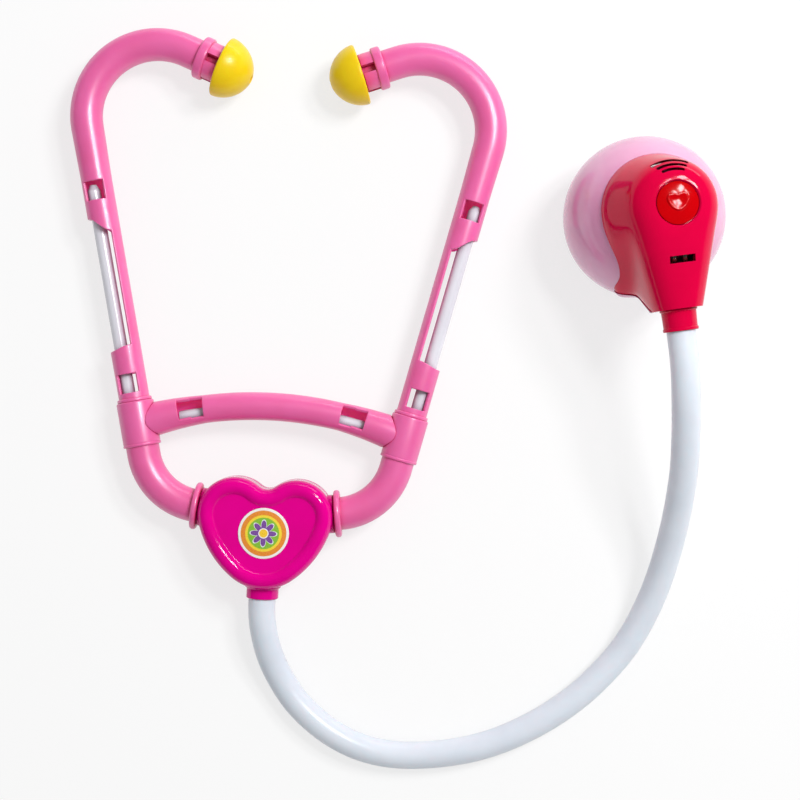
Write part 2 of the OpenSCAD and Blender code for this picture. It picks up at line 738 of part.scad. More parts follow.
module bell_shell() {
    color("lightpink") chest_frame() {
        difference() {
            union() {
                difference() {
                    sphere(ball_r, $fn = fine * 2);
                    sphere(inner_r, $fn = fine * 2);
                    cylinder(h = far, r = top_hole_r, $fn = fine);
                }
                intersection() {
                    union() {
                        for (place = pillars) translate([place[0], place[1], seat_h(place)])
                            cylinder(h = ball_r, r = seat_r, $fn = fine);
                        for (turn = base_screw_turns) rotate([0, 0, turn]) {
                            translate([base_screw_r, 0, -rim_h])
                                cylinder(h = base_boss_l, r = base_boss_r, $fn = fine);
                            translate([base_screw_r, -ball_wall / 2, -rim_h])
                                cube([base_boss_l, ball_wall, base_boss_l]);
                        }
                    }
                    sphere(ball_r - ball_wall / 2, $fn = fine * 2);
                }
            }
            translate([0, 0, -rim_h - far]) half_space();
            for (place = pillars) translate([place[0], place[1], 0])
                cylinder(h = far, d = screw_d + 2 * gap, $fn = fine);
            for (turn = base_screw_turns) rotate([0, 0, turn]) translate([base_screw_r, 0, -rim_h - gap])
                cylinder(h = base_boss_l - boss_blind, d = screw_d + 2 * fit, $fn = fine);
        }
        difference() {
            intersection() {
                pear(0);
                below_strip(0);
            }
            pear(ball_wall);
            sphere(ball_r - ball_wall / 2, $fn = fine * 2);
            neck_tube(0, far / 4, nozzle_d / 2 + fit);
        }
    }
}

module back_cover() {
    mouth = neck_end + nozzle_l;
    color("crimson") chest_frame() difference() {
        union() {
            difference() {
                pear(0);
                pear(ball_wall);
                below_strip(gap);
            }
            neck_tube(neck_end - ball_wall, mouth, nozzle_d / 2);
            intersection() {
                pear(ball_wall / 2);
                union() {
                    for (place = pillars) translate([place[0], place[1], 0])
                        cylinder(h = far, r = pillar_r, $fn = fine);
                    leaf_frame() translate([-leaf_edge, leaf[1] / 2 - leaf_rib, 0])
                        cube([2 * leaf_edge, leaf_rib, cover_peak]);
                }
            }
        }
        sphere(ball_r + fit, $fn = fine * 2);
        translate([0, 0, -far]) half_space();
        cylinder(h = far, r = button_r + button_clear, $fn = fine);
        neck_tube(mouth - hose_deep, mouth + hose_deep, nozzle_bore / 2);
        neck_tube(neck_end - ball_wall - gap, mouth, plug_hole / 2);
        translate([-slot_w / 2, slot_y - slot_h / 2, neck_mid]) cube([slot_w, slot_h, far]);
        for (k = [0 : len(arc_radii) - 1]) translate([0, 0, cover_peak - arc_deep])
            rotate([0, 0, 90 - arc_angles[k]]) rotate_extrude(angle = 2 * arc_angles[k], $fn = fine)
                translate([arc_radii[k] - arc_w / 2, 0]) square([arc_w, 2 * arc_deep]);
        for (place = pillars) translate([place[0], place[1], 0])
            cylinder(h = neck_mid, d = screw_d + 2 * fit, $fn = fine);
    }
}

module sound_button() {
    top = cover_peak + button_proud;
    dome_r = 4 * button_r;
    color("red") chest_frame() difference() {
        union() {
            intersection() {
                translate([0, 0, flange_h]) cylinder(h = top - flange_h, r = button_r, $fn = fine);
                translate([0, 0, top - dome_r]) sphere(dome_r, $fn = fine * 2);
            }
            translate([0, 0, flange_h]) cylinder(h = button_flange_t, r = button_r + button_flange, $fn = fine);
            translate([0, 0, plunger_end]) cylinder(h = top - plunger_end - button_skirt / 2, r = plunger_r, $fn = fine);
        }
        translate([0, 0, flange_h - gap]) difference() {
            cylinder(h = button_skirt, r = button_r - button_flange, $fn = fine);
            translate([0, 0, -gap]) cylinder(h = far, r = plunger_r, $fn = fine);
        }
    }
}

module button_spring() {
    low = board_top + spring_wire / 2;
    high = flange_h + button_skirt - gap - spring_wire / 2 - fit;
    steps = 8;
    path = [for (k = [0 : spring_turns * steps]) let (turn = k * 360 / steps, part = k / (spring_turns * steps))
        [spring_r * cos(turn), spring_r * sin(turn), low + fit + (high - low - fit) * part]];
    color("silver") chest_frame() tube_along(path, spring_wire / 2, 6);
}

module tact_switch() {
    color("dimgray") chest_frame() translate([0, 0, board_top]) {
        translate([-switch_size[0] / 2, -switch_size[1] / 2, 0]) cube(switch_size);
        cylinder(h = switch_size[2] + switch_stem_l, d = switch_stem_d, $fn = fine);
    }
}

module circuit_board() {
    color("green") chest_frame() translate([-board[0] / 2, -board[1] / 2, board_h]) cube(board);
}

module speaker_frame() {
    color("dimgray") chest_frame() translate([0, 0, speaker_h - speaker_t]) difference() {
        cylinder(h = speaker_t, r = speaker_r, $fn = fine);
        translate([0, 0, speaker_t / 2]) cylinder(h = speaker_t, r = cone_r, $fn = fine);
    }
}

module speaker_cone() {
    color("black") chest_frame() translate([0, 0, speaker_h - speaker_t / 2]) rotate_extrude($fn = fine)
        polygon([[0, 0], [cone_r / 2, 0], [cone_r - fit, speaker_t / 3], [cone_r - fit, speaker_t / 2], [0, speaker_t / 5]]);
}

module speaker_magnet() {
    color("silver") chest_frame() translate([0, 0, speaker_h - speaker_t - magnet_t])
        cylinder(h = magnet_t, r = magnet_r, $fn = fine);
}

// Place of the upper face of the metal leaves under the slot of the neck
module leaf_frame() {
    translate([0, leaf_y, roof_h]) rotate([roof_slope, 0, 0]) translate([0, 0, -leaf_drop]) children();
}

module tab_contacts() {
    color("silver") chest_frame() leaf_frame() for (side = [-1, 1])
        translate([side * leaf_apart - leaf[0] / 2, -leaf[1] / 2, -leaf[2]]) cube(leaf);
}

module battery_cells() {
    color("silver") chest_frame() for (turn = [30, 150, 270]) rotate([0, 0, turn])
        translate([cell_ring, 0, -face_h + door_t + gap]) cylinder(h = cell_t, d = cell_d, $fn = fine);
}

module battery_contacts() {
    color("silver") chest_frame() for (turn = [30, 150, 270]) rotate([0, 0, turn])
        translate([cell_ring, 0, -bay_top - leaf_t]) cylinder(h = leaf_t, d = cell_d / 2, $fn = fine);
}

module door_outline(r, lug) {
    circle(r, $fn = fine);
    translate([0, lug_y]) circle(lug, $fn = fine);
}

module battery_door() {
    color("lightpink") chest_frame() translate([0, 0, -face_h]) difference() {
        linear_extrude(height = door_t) door_outline(door_r, lug_r);
        translate([0, lug_y, -gap]) cylinder(h = far, d = screw_d + 2 * gap, $fn = fine);
        translate([0, lug_y, -gap]) cylinder(h = gap + door_t / 2, d = screw_head_d + gap, $fn = fine);
    }
}

module door_screw() {
    color("silver") chest_frame() translate([0, lug_y, -face_h + fit]) screw(screw_d, screw_head_d - gap, door_t / 2 - fit, door_screw_l);
}

module base_plate() {
    color("lightpink") chest_frame() difference() {
        union() {
            intersection() {
                sphere(ball_r, $fn = fine * 2);
                translate([0, 0, -face_h]) cylinder(h = base_t, r = ball_r, $fn = fine);
            }
            translate([0, 0, -rim_h - gap]) cylinder(h = rim_h + gap - bay_top + bay_wall, r = bay_r + bay_wall, $fn = fine);
            translate([0, lug_y, -rim_h - gap]) cylinder(h = door_screw_l - base_t + lug_boss_over, r = lug_r - lug_boss_in, $fn = fine);
        }
        translate([0, 0, -face_h - gap]) cylinder(h = face_h + gap - bay_top, r = bay_r, $fn = fine);
        translate([0, 0, -face_h - gap]) linear_extrude(height = gap + door_t + fit)
            door_outline(door_r + gap / 2, lug_r + gap / 2);
        translate([0, lug_y, -face_h]) cylinder(h = door_screw_l + gap, d = screw_d + 2 * fit, $fn = fine);
        for (turn = base_screw_turns) rotate([0, 0, turn]) translate([base_screw_r, 0, -face_h - gap]) {
            cylinder(h = far / 8, d = screw_d + 2 * gap, $fn = fine);
            cylinder(h = gap + base_t / 2, d = screw_head_d + 2 * fit, $fn = fine);
        }
    }
}

module base_screws() {
    color("silver") chest_frame() for (turn = base_screw_turns) rotate([0, 0, turn])
        translate([base_screw_r, 0, -face_h + fit])
            screw(screw_d, screw_head_d - gap, base_t / 2 - fit, base_screw_l);
}

module cover_screws() {
    color("silver") chest_frame() for (place = pillars)
        let (low = seat_h(place) - screw_head_t)
            translate([place[0], place[1], low]) screw(screw_d, screw_head_d, screw_head_t, neck_mid - low - gap);
}

module chest_hose_plug() {
    color("white") chest_frame() translate([0, ball_wall - neck_end, neck_mid])
        hose_plug(ball_wall + nozzle_l - hose_deep);
}

module both(side) { if (side == "left") mirror([1, 0, 0]) children(); else children(); }

both("left") ear_tip();  // left_ear_tip
both("right") ear_tip();  // right_ear_tip
both("left") ear_arm();  // left_ear_arm
both("right") ear_arm();  // right_ear_arm
both("left") inner_rod();  // left_inner_rod
both("right") inner_rod();  // right_inner_rod
both("left") tee();  // left_tee
both("right") tee();  // right_tee
crossbar();
crossbar_rod();
both("left") yoke_tube();  // left_yoke_tube
both("right") yoke_tube();  // right_yoke_tube
heart_front();
heart_back();
heart_badge();
heart_screws();
heart_hose_plug();
hose();
bell_shell();
back_cover();
sound_button();
button_spring();
tact_switch();
circuit_board();
speaker_frame();
speaker_cone();
speaker_magnet();
tab_contacts();
battery_cells();
battery_contacts();
battery_door();
door_screw();
base_plate();
base_screws();
cover_screws();
chest_hose_plug();
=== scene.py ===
"""Toy stethoscope: windowed headset, heart hub, hose and ball shaped chest piece.

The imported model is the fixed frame. Sizes in this file are millimetres unless a name says
otherwise, and a piece is brought to metres when its mesh is finished.
"""

from __future__ import annotations

import json
import logging
import math
from collections.abc import Iterable, Sequence
from dataclasses import dataclass, field
from enum import Enum

import bmesh
import bpy
from mathutils import Matrix, Vector

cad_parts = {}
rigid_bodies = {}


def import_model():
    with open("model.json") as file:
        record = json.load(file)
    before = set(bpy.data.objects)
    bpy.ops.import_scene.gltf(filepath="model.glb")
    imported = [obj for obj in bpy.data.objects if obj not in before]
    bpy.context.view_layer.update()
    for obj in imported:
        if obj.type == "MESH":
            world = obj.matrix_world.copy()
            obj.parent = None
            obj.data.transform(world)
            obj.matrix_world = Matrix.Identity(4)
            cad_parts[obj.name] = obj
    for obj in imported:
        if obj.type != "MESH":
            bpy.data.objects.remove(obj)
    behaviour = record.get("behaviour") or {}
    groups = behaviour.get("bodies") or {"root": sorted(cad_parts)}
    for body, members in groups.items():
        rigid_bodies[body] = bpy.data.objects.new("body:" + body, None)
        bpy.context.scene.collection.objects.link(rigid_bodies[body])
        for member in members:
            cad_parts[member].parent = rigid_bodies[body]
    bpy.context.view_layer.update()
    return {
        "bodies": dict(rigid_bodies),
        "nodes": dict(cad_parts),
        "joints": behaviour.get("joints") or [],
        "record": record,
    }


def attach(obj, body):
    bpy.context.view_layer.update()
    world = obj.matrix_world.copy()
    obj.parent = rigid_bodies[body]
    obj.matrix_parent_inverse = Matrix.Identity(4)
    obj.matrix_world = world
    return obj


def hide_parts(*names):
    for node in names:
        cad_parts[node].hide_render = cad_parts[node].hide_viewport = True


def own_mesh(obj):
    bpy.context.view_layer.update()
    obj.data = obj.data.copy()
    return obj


LOG = logging.getLogger("toy_stethoscope")

METRES_PER_MM = 0.001
PLANE_H = 12.2  # height of the headset's middle plane above the table
BOSS_AT = (27.0, 8.4)  # face of the heart's right boss, in that plane
BOSS_TILT = 6.8  # degrees by which the bosses point towards the ear tips
WELD = 1e-4  # points nearer than this are one
WELD_OUTLINE = 1e-2  # the same for the points of a flat outline
SOFT_ANGLE = 50.0  # degrees above which softening rounds an edge

Shape = bmesh.types.BMesh
Vert = bmesh.types.BMVert
Edge = bmesh.types.BMEdge
Face = bmesh.types.BMFace
Socket = bpy.types.NodeSocket
Section = tuple[tuple[float, float, float], ...]  # radius, height and radius of each corner


class Side(Enum):
    """Side of the headset, as the factor of its sideways coordinate."""

    LEFT = -1
    RIGHT = 1


class Cut(Enum):
    """How one solid is joined with another."""

    TAKE_AWAY = "DIFFERENCE"
    KEEP_SHARED = "INTERSECT"


# Places


def moved(x: float = 0.0, y: float = 0.0, z: float = 0.0) -> Matrix:
    """Returns a shift."""
    return Matrix.Translation((x, y, z))


def turned(degrees: float, axis: str) -> Matrix:
    """Returns a turn about one of the axes X, Y and Z."""
    return Matrix.Rotation(math.radians(degrees), 4, axis)


ALONG_X = turned(90, "Y")  # lays the axis of a spun form along X
ALONG_Y = turned(-90, "X")  # lays it along Y


def facing(origin: Sequence[float], ahead: Sequence[float], up: Sequence[float] = (0, 0, 1)) -> Matrix:
    """Gives the place of a ring or lathe whose axis points ahead.

    Args:
        origin: Where its middle goes.
        ahead: Direction of its axis, its local Z.
        up: Direction of its local Y.

    Returns:
        The placing matrix.
    """
    z_axis = Vector(ahead).normalized()
    x_axis = Vector(up).cross(z_axis).normalized()
    y_axis = z_axis.cross(x_axis)
    place = Matrix((x_axis, y_axis, z_axis)).transposed().to_4x4()
    place.translation = Vector(origin)
    return place


def side_matrix(side: Side) -> Matrix:
    """Returns the mirror that carries a right hand shape to its side."""
    return Matrix.Diagonal((side.value, 1, 1, 1))


# Shaping


def carry(shape: Shape, matrix: Matrix) -> None:
    """Moves, turns or mirrors a whole shape."""
    bmesh.ops.transform(shape, matrix=matrix, verts=shape.verts)


def face_out(shape: Shape) -> None:
    """Turns the faces of a shape outwards."""
    bmesh.ops.recalc_face_normals(shape, faces=shape.faces)


def as_mesh(name: str, shape: Shape) -> bpy.types.Mesh:
    """Makes a mesh of a shape.

    Args:
        name: Name of the mesh.
        shape: Shape, which is freed.

    Returns:
        The mesh.
    """
    mesh = bpy.data.meshes.new(name)
    shape.to_mesh(mesh)
    shape.free()
    return mesh


def placed(name: str, data: bpy.types.ID) -> bpy.types.Object:
    """Adds an object to the scene.

    Args:
        name: Name of the object.
        data: Mesh, camera or lamp that it shows.

    Returns:
        The object.
    """
    made = bpy.data.objects.new(name, data)
    bpy.context.scene.collection.objects.link(made)
    return made


def rounded(corners: Iterable[tuple[float, float, float]], steps: int = 4) -> list[tuple[float, float]]:
    """Rounds the corners of a closed outline.

    Args:
        corners: Points x, y and the radius of the corner.
        steps: Steps of each rounded corner.

    Returns:
        The outline's points.
    """
    points = list(corners)
    outline: list[tuple[float, float]] = []
    for index, (x, y, radius) in enumerate(points):
        if radius <= 0:
            outline.append((x, y))
            continue
        corner = Vector((x, y))
        back = Vector(points[index - 1][:2]) - corner
        ahead = Vector(points[(index + 1) % len(points)][:2]) - corner
        half = back.angle(ahead) / 2
        reach = min(radius / math.tan(half), back.length * 0.49, ahead.length * 0.49)
        middle = corner + (back.normalized() + ahead.normalized()).normalized() * reach / math.cos(half)
        start = corner + back.normalized() * reach - middle
        end = corner + ahead.normalized() * reach - middle
        sweep = math.atan2(start.x * end.y - start.y * end.x, start.dot(end))
        for step in range(steps + 1):
            turn = sweep * step / steps
            cos_turn, sin_turn = math.cos(turn), math.sin(turn)
            outline.append(
                (
                    middle.x + start.x * cos_turn - start.y * sin_turn,
                    middle.y + start.x * sin_turn + start.y * cos_turn,
                )
            )
    return outline


def lathe(
    shape: Shape,
    outline: Sequence[tuple[float, float]],
    place: Matrix,
    steps: int = 96,
    degrees: float = 360.0,
) -> list[Vert]:
    """Spins a closed outline about the local Z axis.

    Args:
        shape: Mesh to add to.
        outline: Points of radius and height.
        place: Where the turned shape goes.
        steps: Steps of the whole spin.
        degrees: Angle of the spin; below 360 the two ends are closed.

    Returns:
        The new vertices.
    """
    before = set(shape.verts)
    ring = [shape.verts.new((radius, 0, height)) for radius, height in outline]
    geometry: list = list(ring)
    for index, vert in enumerate(ring):
        other = ring[(index + 1) % len(ring)]
        if vert.co.x > 0 or other.co.x > 0:
            geometry.append(shape.edges.new((vert, other)))
    full = degrees >= 360
    if not full:
        geometry.append(shape.faces.new(ring))
    bmesh.ops.spin(
        shape,
        geom=geometry,
        cent=(0, 0, 0),
        axis=(0, 0, 1),
        dvec=(0, 0, 0),
        angle=math.radians(degrees),
        steps=steps,
        use_merge=full,
        use_normal_flip=False,
        use_duplicate=False,
    )
    made = [vert for vert in shape.verts if vert not in before]
    bmesh.ops.remove_doubles(shape, verts=made, dist=WELD)
    made = [vert for vert in shape.verts if vert not in before]
    bmesh.ops.transform(shape, matrix=place, verts=made)
    return made


def only_verts(geometry: Iterable) -> list[Vert]:
    """Returns the vertices among mixed geometry."""
    return [item for item in geometry if isinstance(item, Vert)]


def only_edges(geometry: Iterable) -> list[Edge]:
    """Returns the edges among mixed geometry."""
    return [item for item in geometry if isinstance(item, Edge)]


def sweep(
    shape: Shape,
    stations: Sequence[tuple[Matrix, float]],
    sides: int = 64,
    closed: bool = True,
) -> list[list[Vert]]:
    """Extrudes a ring from station to station.

    Args:
        shape: Mesh to add to.
        stations: Place and radius of each ring.
        sides: Sides of the rings.
        closed: Whether the two ends get a face.

    Returns:
        The vertices of each ring.
    """
    place, radius = stations[0]
    current = place @ Matrix.Scale(radius, 4)
    made = bmesh.ops.create_circle(shape, cap_ends=False, segments=sides, radius=1.0, matrix=current)
    first = made["verts"]
    rings = [list(first)]
    edges = list({edge for vert in first for edge in vert.link_edges})
    ends = [edges]
    for place, radius in stations[1:]:
        target = place @ Matrix.Scale(radius, 4)
        geometry = bmesh.ops.extrude_edge_only(shape, edges=edges)["geom"]
        verts, edges = only_verts(geometry), only_edges(geometry)
        bmesh.ops.transform(shape, matrix=target @ current.inverted(), verts=verts)
        current = target
        rings.append(verts)
    ends.append(edges)
    if closed:
        for end in ends:
            bmesh.ops.edgeloop_fill(shape, edges=end)
    return rings


def arc_chain(
    shape: Shape, start: tuple[float, float], arcs: Sequence[tuple[float, float, float, int]]
) -> Face:
    """Draws a closed outline of arcs and fills it.

    Args:
        shape: Mesh to add to.
        start: First point.
        arcs: Centre x and y, degrees and steps of each arc in turn.

    Returns:
        The face, facing up.
    """
    first = last = shape.verts.new((start[0], start[1], 0))
    chain = [first]
    for x, y, degrees, steps in arcs:
        before = set(shape.verts)
        result = bmesh.ops.spin(
            shape,
            geom=[last],
            cent=(x, y, 0),
            axis=(0, 0, 1),
            dvec=(0, 0, 0),
            angle=math.radians(degrees),
            steps=steps,
            use_merge=False,
            use_normal_flip=False,
            use_duplicate=False,
        )
        last = only_verts(result["geom_last"])[0]
        chain += [vert for vert in shape.verts if vert not in before]
    bmesh.ops.remove_doubles(shape, verts=chain, dist=WELD_OUTLINE)
    chain = [vert for vert in chain if vert.is_valid]
    edges = list({edge for vert in chain for edge in vert.link_edges})
    face = bmesh.ops.contextual_create(shape, geom=edges)["faces"][0]
    face.normal_update()
    if face.normal.z < 0:
        face.normal_flip()
    return face


def heart_arcs(scale: float = 1.0) -> tuple[tuple[float, float], list[tuple[float, float, float, int]]]:
    """Gives a heart's outline: notch, two lobes, bulged sides and a blunt tip.

    Args:
        scale: Size against the hub's own.

    Returns:
        The notch point and the arcs that lead round the heart from it.
    """
    lobe = Vector((12.2, 6.8))
    lobe_r, side_r, side_tilt = 14.6, 40.0, 15.0
    notch_y, tip_y = 17.2, -22.4
    rise = notch_y - lobe.y
    notch_r = (lobe.x**2 + rise**2 - lobe_r**2) / (2 * lobe_r - 2 * rise)
    notch_turn = 90 - math.degrees(math.atan2(rise + notch_r, lobe.x))
    side = lobe - (side_r - lobe_r) * Vector(
        (math.cos(math.radians(side_tilt)), -math.sin(math.radians(side_tilt)))
    )
    drop = side.y - tip_y
    tip_r = (side_r**2 - side.x**2 - drop**2) / (2 * side_r - 2 * drop)
    tip_turn = math.degrees(math.atan2(-side.x, drop - tip_r))
    lobe_turn = 180 - (90 - notch_turn) + side_tilt
    side_turn = 90 - side_tilt - tip_turn
    half = [
        (0.0, notch_y + notch_r, notch_turn, 8),
        (lobe.x, lobe.y, -lobe_turn, 44),
        (side.x, side.y, -side_turn, 16),
        (0.0, tip_y + tip_r, -tip_turn, 8),
    ]
    arcs = half + [(-x, y, degrees, steps) for x, y, degrees, steps in reversed(half)]
    return (0.0, notch_y * scale), [(x * scale, y * scale, turn, steps) for x, y, turn, steps in arcs]


def raise_face(shape: Shape, face: Face, profile: Sequence[tuple[float, float]]) -> Face:
    """Raises a face in steps along a profile.

    Args:
        shape: Mesh that holds the face.
        face: Face that starts at no inset and no height.
        profile: Inset and height of each step.

    Returns:
        The face, at the end of the profile.
    """
    inset = height = 0.0
    for next_inset, next_height in profile:
        if next_inset - inset > 1e-6:
            bmesh.ops.inset_individual(
                shape,
                faces=[face],
                thickness=next_inset - inset,
                depth=next_height - height,
                use_even_offset=True,
            )
        else:
            geometry = bmesh.ops.extrude_face_region(shape, geom=[face])["geom"]
            bmesh.ops.translate(shape, vec=(0, 0, next_height - height), verts=only_verts(geometry))
            face = next(item for item in geometry if isinstance(item, Face))
        inset, height = next_inset, next_height
    return face


def close_holes(shape: Shape) -> None:
    """Fills what is still open.

    Args:
        shape: Mesh to close.
    """
    edges = [edge for edge in shape.edges if edge.is_boundary]
    if edges:
        bmesh.ops.holes_fill(shape, edges=edges, sides=0)


def evaluated(shape: Shape, kind: str, **settings: object) -> Shape:
    """Runs one modifier on a copy of a mesh.

    Args:
        shape: Mesh, which is freed.
        kind: Kind of modifier.
        settings: Its settings.

    Returns:
        The changed mesh.
    """
    mesh = as_mesh("blank", shape)
    blank = placed("blank", mesh)
    modifier = blank.modifiers.new("work", kind)
    for name, value in settings.items():
        setattr(modifier, name, value)
    result = bmesh.new()
    result.from_object(blank, bpy.context.evaluated_depsgraph_get())
    bpy.data.objects.remove(blank)
    bpy.data.meshes.remove(mesh)
    return result


def combined(base: Shape, tool: Shape, cut: Cut) -> Shape:
    """Joins two closed solids, which are freed.

    Args:
        base: First solid.
        tool: Second solid.
        cut: What is kept of the first.

    Returns:
        The result.
    """
    face_out(tool)
    mesh = as_mesh("tool", tool)
    cutter = placed("tool", mesh)
    result = evaluated(base, "BOOLEAN", object=cutter, operation=cut.value, solver="EXACT")
    bpy.data.objects.remove(cutter)
    bpy.data.meshes.remove(mesh)
    return result


def added(base: Shape, extra: Shape) -> None:
    """Adds one mesh to another.

    Args:
        base: Mesh to add to.
        extra: Mesh that is added, and freed.
    """
    mesh = as_mesh("extra", extra)
    base.from_mesh(mesh)
    bpy.data.meshes.remove(mesh)


def hulled(forms: Shape) -> Shape:
    """Wraps some forms in their convex hull.

    Args:
        forms: Mesh of the forms, which is freed.

    Returns:
        The hull.
    """
    hull = bmesh.new()
    for vert in forms.verts:
        hull.verts.new(vert.co)
    forms.free()
    bmesh.ops.convex_hull(hull, input=hull.verts)
    loose = [vert for vert in hull.verts if not vert.link_faces]
    bmesh.ops.delete(hull, geom=loose, context="VERTS")
    face_out(hull)
    return hull


def block(low: Sequence[float], high: Sequence[float], place: Matrix | None = None) -> Shape:
    """Makes a box between two corners, for cutting.

    Args:
        low: Lowest corner.
        high: Highest corner.
        place: Frame of both corners, if not the origin.

    Returns:
        The box.
    """
    shape = bmesh.new()
    size = [b - a for a, b in zip(low, high)]
    middle = [(a + b) / 2 for a, b in zip(low, high)]
    matrix = (place or Matrix()) @ moved(*middle) @ Matrix.Diagonal((*size, 1))
    bmesh.ops.create_cube(shape, size=1.0, matrix=matrix)
    return shape


def rod(radius: float, low: float, high: float, x: float, y: float, sides: int = 48) -> Shape:
    """Makes an upright round rod, for cutting.

    Args:
        radius: Radius of the rod.
        low: Height of its foot.
        high: Height of its top.
        x: Sideways place of its axis.
        y: Lengthways place of its axis.
        sides: Sides of the rod.

    Returns:
        The rod.
    """
    shape = bmesh.new()
    bmesh.ops.create_cone(
        shape,
        cap_ends=True,
        segments=sides,
        radius1=radius,
        radius2=radius,
        depth=high - low,
        matrix=moved(x, y, (low + high) / 2),
    )
    return shape


def ball(radius: float, segments: int = 128) -> Shape:
    """Makes a ball about the origin, for cutting.

    Args:
        radius: Radius of the ball.
        segments: Faces round its equator.

    Returns:
        The ball.
    """
    shape = bmesh.new()
    bmesh.ops.create_uvsphere(shape, u_segments=segments, v_segments=segments // 2, radius=radius)
    return shape


# Finishes


def linear(colour: Sequence[float]) -> tuple[float, float, float, float]:
    """Returns a display colour as the linear colour that a shader takes."""
    parts = [c / 12.92 if c <= 0.04045 else ((c + 0.055) / 1.055) ** 2.4 for c in colour]
    return (parts[0], parts[1], parts[2], 1.0)


class Graph:
    """Node tree of one material around a Principled shader."""

    def __init__(self, name: str) -> None:
        """Makes an empty material with its shader and output.

        Args:
            name: Name of the material.
        """
        self.material = bpy.data.materials.new(name)
        self.material.use_nodes = True
        self.tree = self.material.node_tree
        self.tree.nodes.clear()
        self.shader = self.tree.nodes.new("ShaderNodeBsdfPrincipled")
        output = self.tree.nodes.new("ShaderNodeOutputMaterial")
        self.tree.links.new(self.shader.outputs["BSDF"], output.inputs["Surface"])
        self.place = self.tree.nodes.new("ShaderNodeTexCoord").outputs["Object"]

    def add(self, kind: str, inputs: dict | None = None, **settings: object) -> bpy.types.Node:
        """Adds a node.

        Args:
            kind: Name of the node's type, without its prefix.
            inputs: Values, or sockets to link, by input name or number.
            settings: Properties of the node.

        Returns:
            The node.
        """
        node = self.tree.nodes.new("ShaderNode" + kind)
        for name, value in settings.items():
            setattr(node, name, value)
        for key, value in (inputs or {}).items():
            self.feed(node.inputs[key], value)
        return node

    def feed(self, socket: Socket, value: object) -> None:
        """Links a socket to its source, or sets its value.

        Args:
            socket: Input of a node.
            value: Socket that feeds it, or a plain value.
        """
        if isinstance(value, Socket):
            self.tree.links.new(value, socket)
        else:
            socket.default_value = value

    def dress(self, inputs: dict[str, object]) -> None:
        """Sets or links inputs of the shader by name."""
        for name, value in inputs.items():
            self.feed(self.shader.inputs[name], value)

    def noise(self, scale: float, detail: float = 2.0, stretch: Sequence[float] = (1, 1, 1)) -> Socket:
        """Returns a noise on object coordinates; scale is in waves a metre."""
        mapped = self.add("Mapping", {"Vector": self.place, "Scale": tuple(stretch)}).outputs[0]
        return self.add("TexNoise", {"Vector": mapped, "Scale": scale, "Detail": detail}).outputs[0]

    def ranged(self, value: Socket, source: Sequence[float], target: Sequence[float]) -> Socket:
        """Returns a value carried from one range to another."""
        ends = dict(zip(("From Min", "From Max", "To Min", "To Max"), (*source, *target)))
        return self.add("MapRange", {"Value": value, **ends}).outputs[0]

    def mixed(self, factor: object, first: object, second: object) -> Socket:
        """Returns the mix of two colours."""
        return self.add("Mix", {0: factor, 6: first, 7: second}, data_type="RGBA").outputs[2]

    def sums(self, operation: str, *values: object) -> Socket:
        """Returns the result of one arithmetic step."""
        return self.add("Math", dict(enumerate(values)), operation=operation).outputs[0]

    def bumped(self, *layers: tuple[Socket, float, float]) -> None:
        """Stacks bump layers on the shader.

        Args:
            layers: Height, strength and distance in metres of each layer.
        """
        normal = None
        for height, strength, distance in layers:
            inputs = {"Height": height, "Strength": strength, "Distance": distance}
            if normal is not None:
                inputs["Normal"] = normal
            normal = self.add("Bump", inputs).outputs[0]
        self.feed(self.shader.inputs["Normal"], normal)


@dataclass(frozen=True)
class Plastic:
    """Moulded plastic: flow clouds, faint grain, uneven gloss, and painted shade that darkens it in its
    hollows.
    """

    name: str
    colour: tuple[float, float, float]
    # deep is the tone of the random flow clouds, and also the painted shade in hollows
    deep: tuple[float, float, float]
    roughness: float = 0.22
    coat: float = 0.3
    # reach of the ambient occlusion that paints shade into hollows and creases
    painted_shade_reach_m: float = 0.005
    grain: float = 0.03
    cloud: float = 0.2
    soak: float = 0.0
    gloss: float = 0.35
    soak_reach_m: float = 0.002

    def build(self) -> bpy.types.Material:
        """Builds the material.

        Returns:
            The material.
        """
        graph = Graph(self.name)
        clouds = graph.noise(55.0, 3.0)
        grain = graph.noise(2600.0, 2.0)
        waves = graph.noise(140.0, 1.0)
        scuffs = graph.noise(700.0, 4.0)
        cloudy = graph.ranged(clouds, (0.35, 0.7), (0.0, self.cloud))
        tinted = graph.mixed(cloudy, linear(self.colour), linear(self.deep))
        # Painted shade: near other surfaces, in hollows, creases and under parts, the colour falls to the
        # deep tone.
        shade_probe = graph.add("AmbientOcclusion", {"Distance": self.painted_shade_reach_m}, samples=8)
        unshaded_part = graph.ranged(shade_probe.outputs["AO"], (0.25, 0.85), (0.0, 1.0))
        soft_spots = graph.ranged(clouds, (0.3, 0.7), (-0.02, 0.03))
        uneven = graph.sums("ADD", soft_spots, graph.ranged(scuffs, (0.6, 0.85), (0.0, 0.05)))
        graph.dress(
            {
                "Base Color": graph.mixed(unshaded_part, linear(self.deep), tinted),
                "Roughness": graph.sums("ADD", uneven, self.roughness),
                "Specular IOR Level": self.gloss,
                "Coat Weight": self.coat,
                "Coat Roughness": 0.06,
            }
        )
        if self.soak > 0:
            graph.dress(
                {
                    "Subsurface Weight": self.soak,
                    "Subsurface Radius": (1.0, 0.5, 0.5),
                    "Subsurface Scale": self.soak_reach_m,
                }
            )
        graph.bumped((waves, 0.04, 0.0004), (grain, self.grain, 0.00006))
        return graph.material


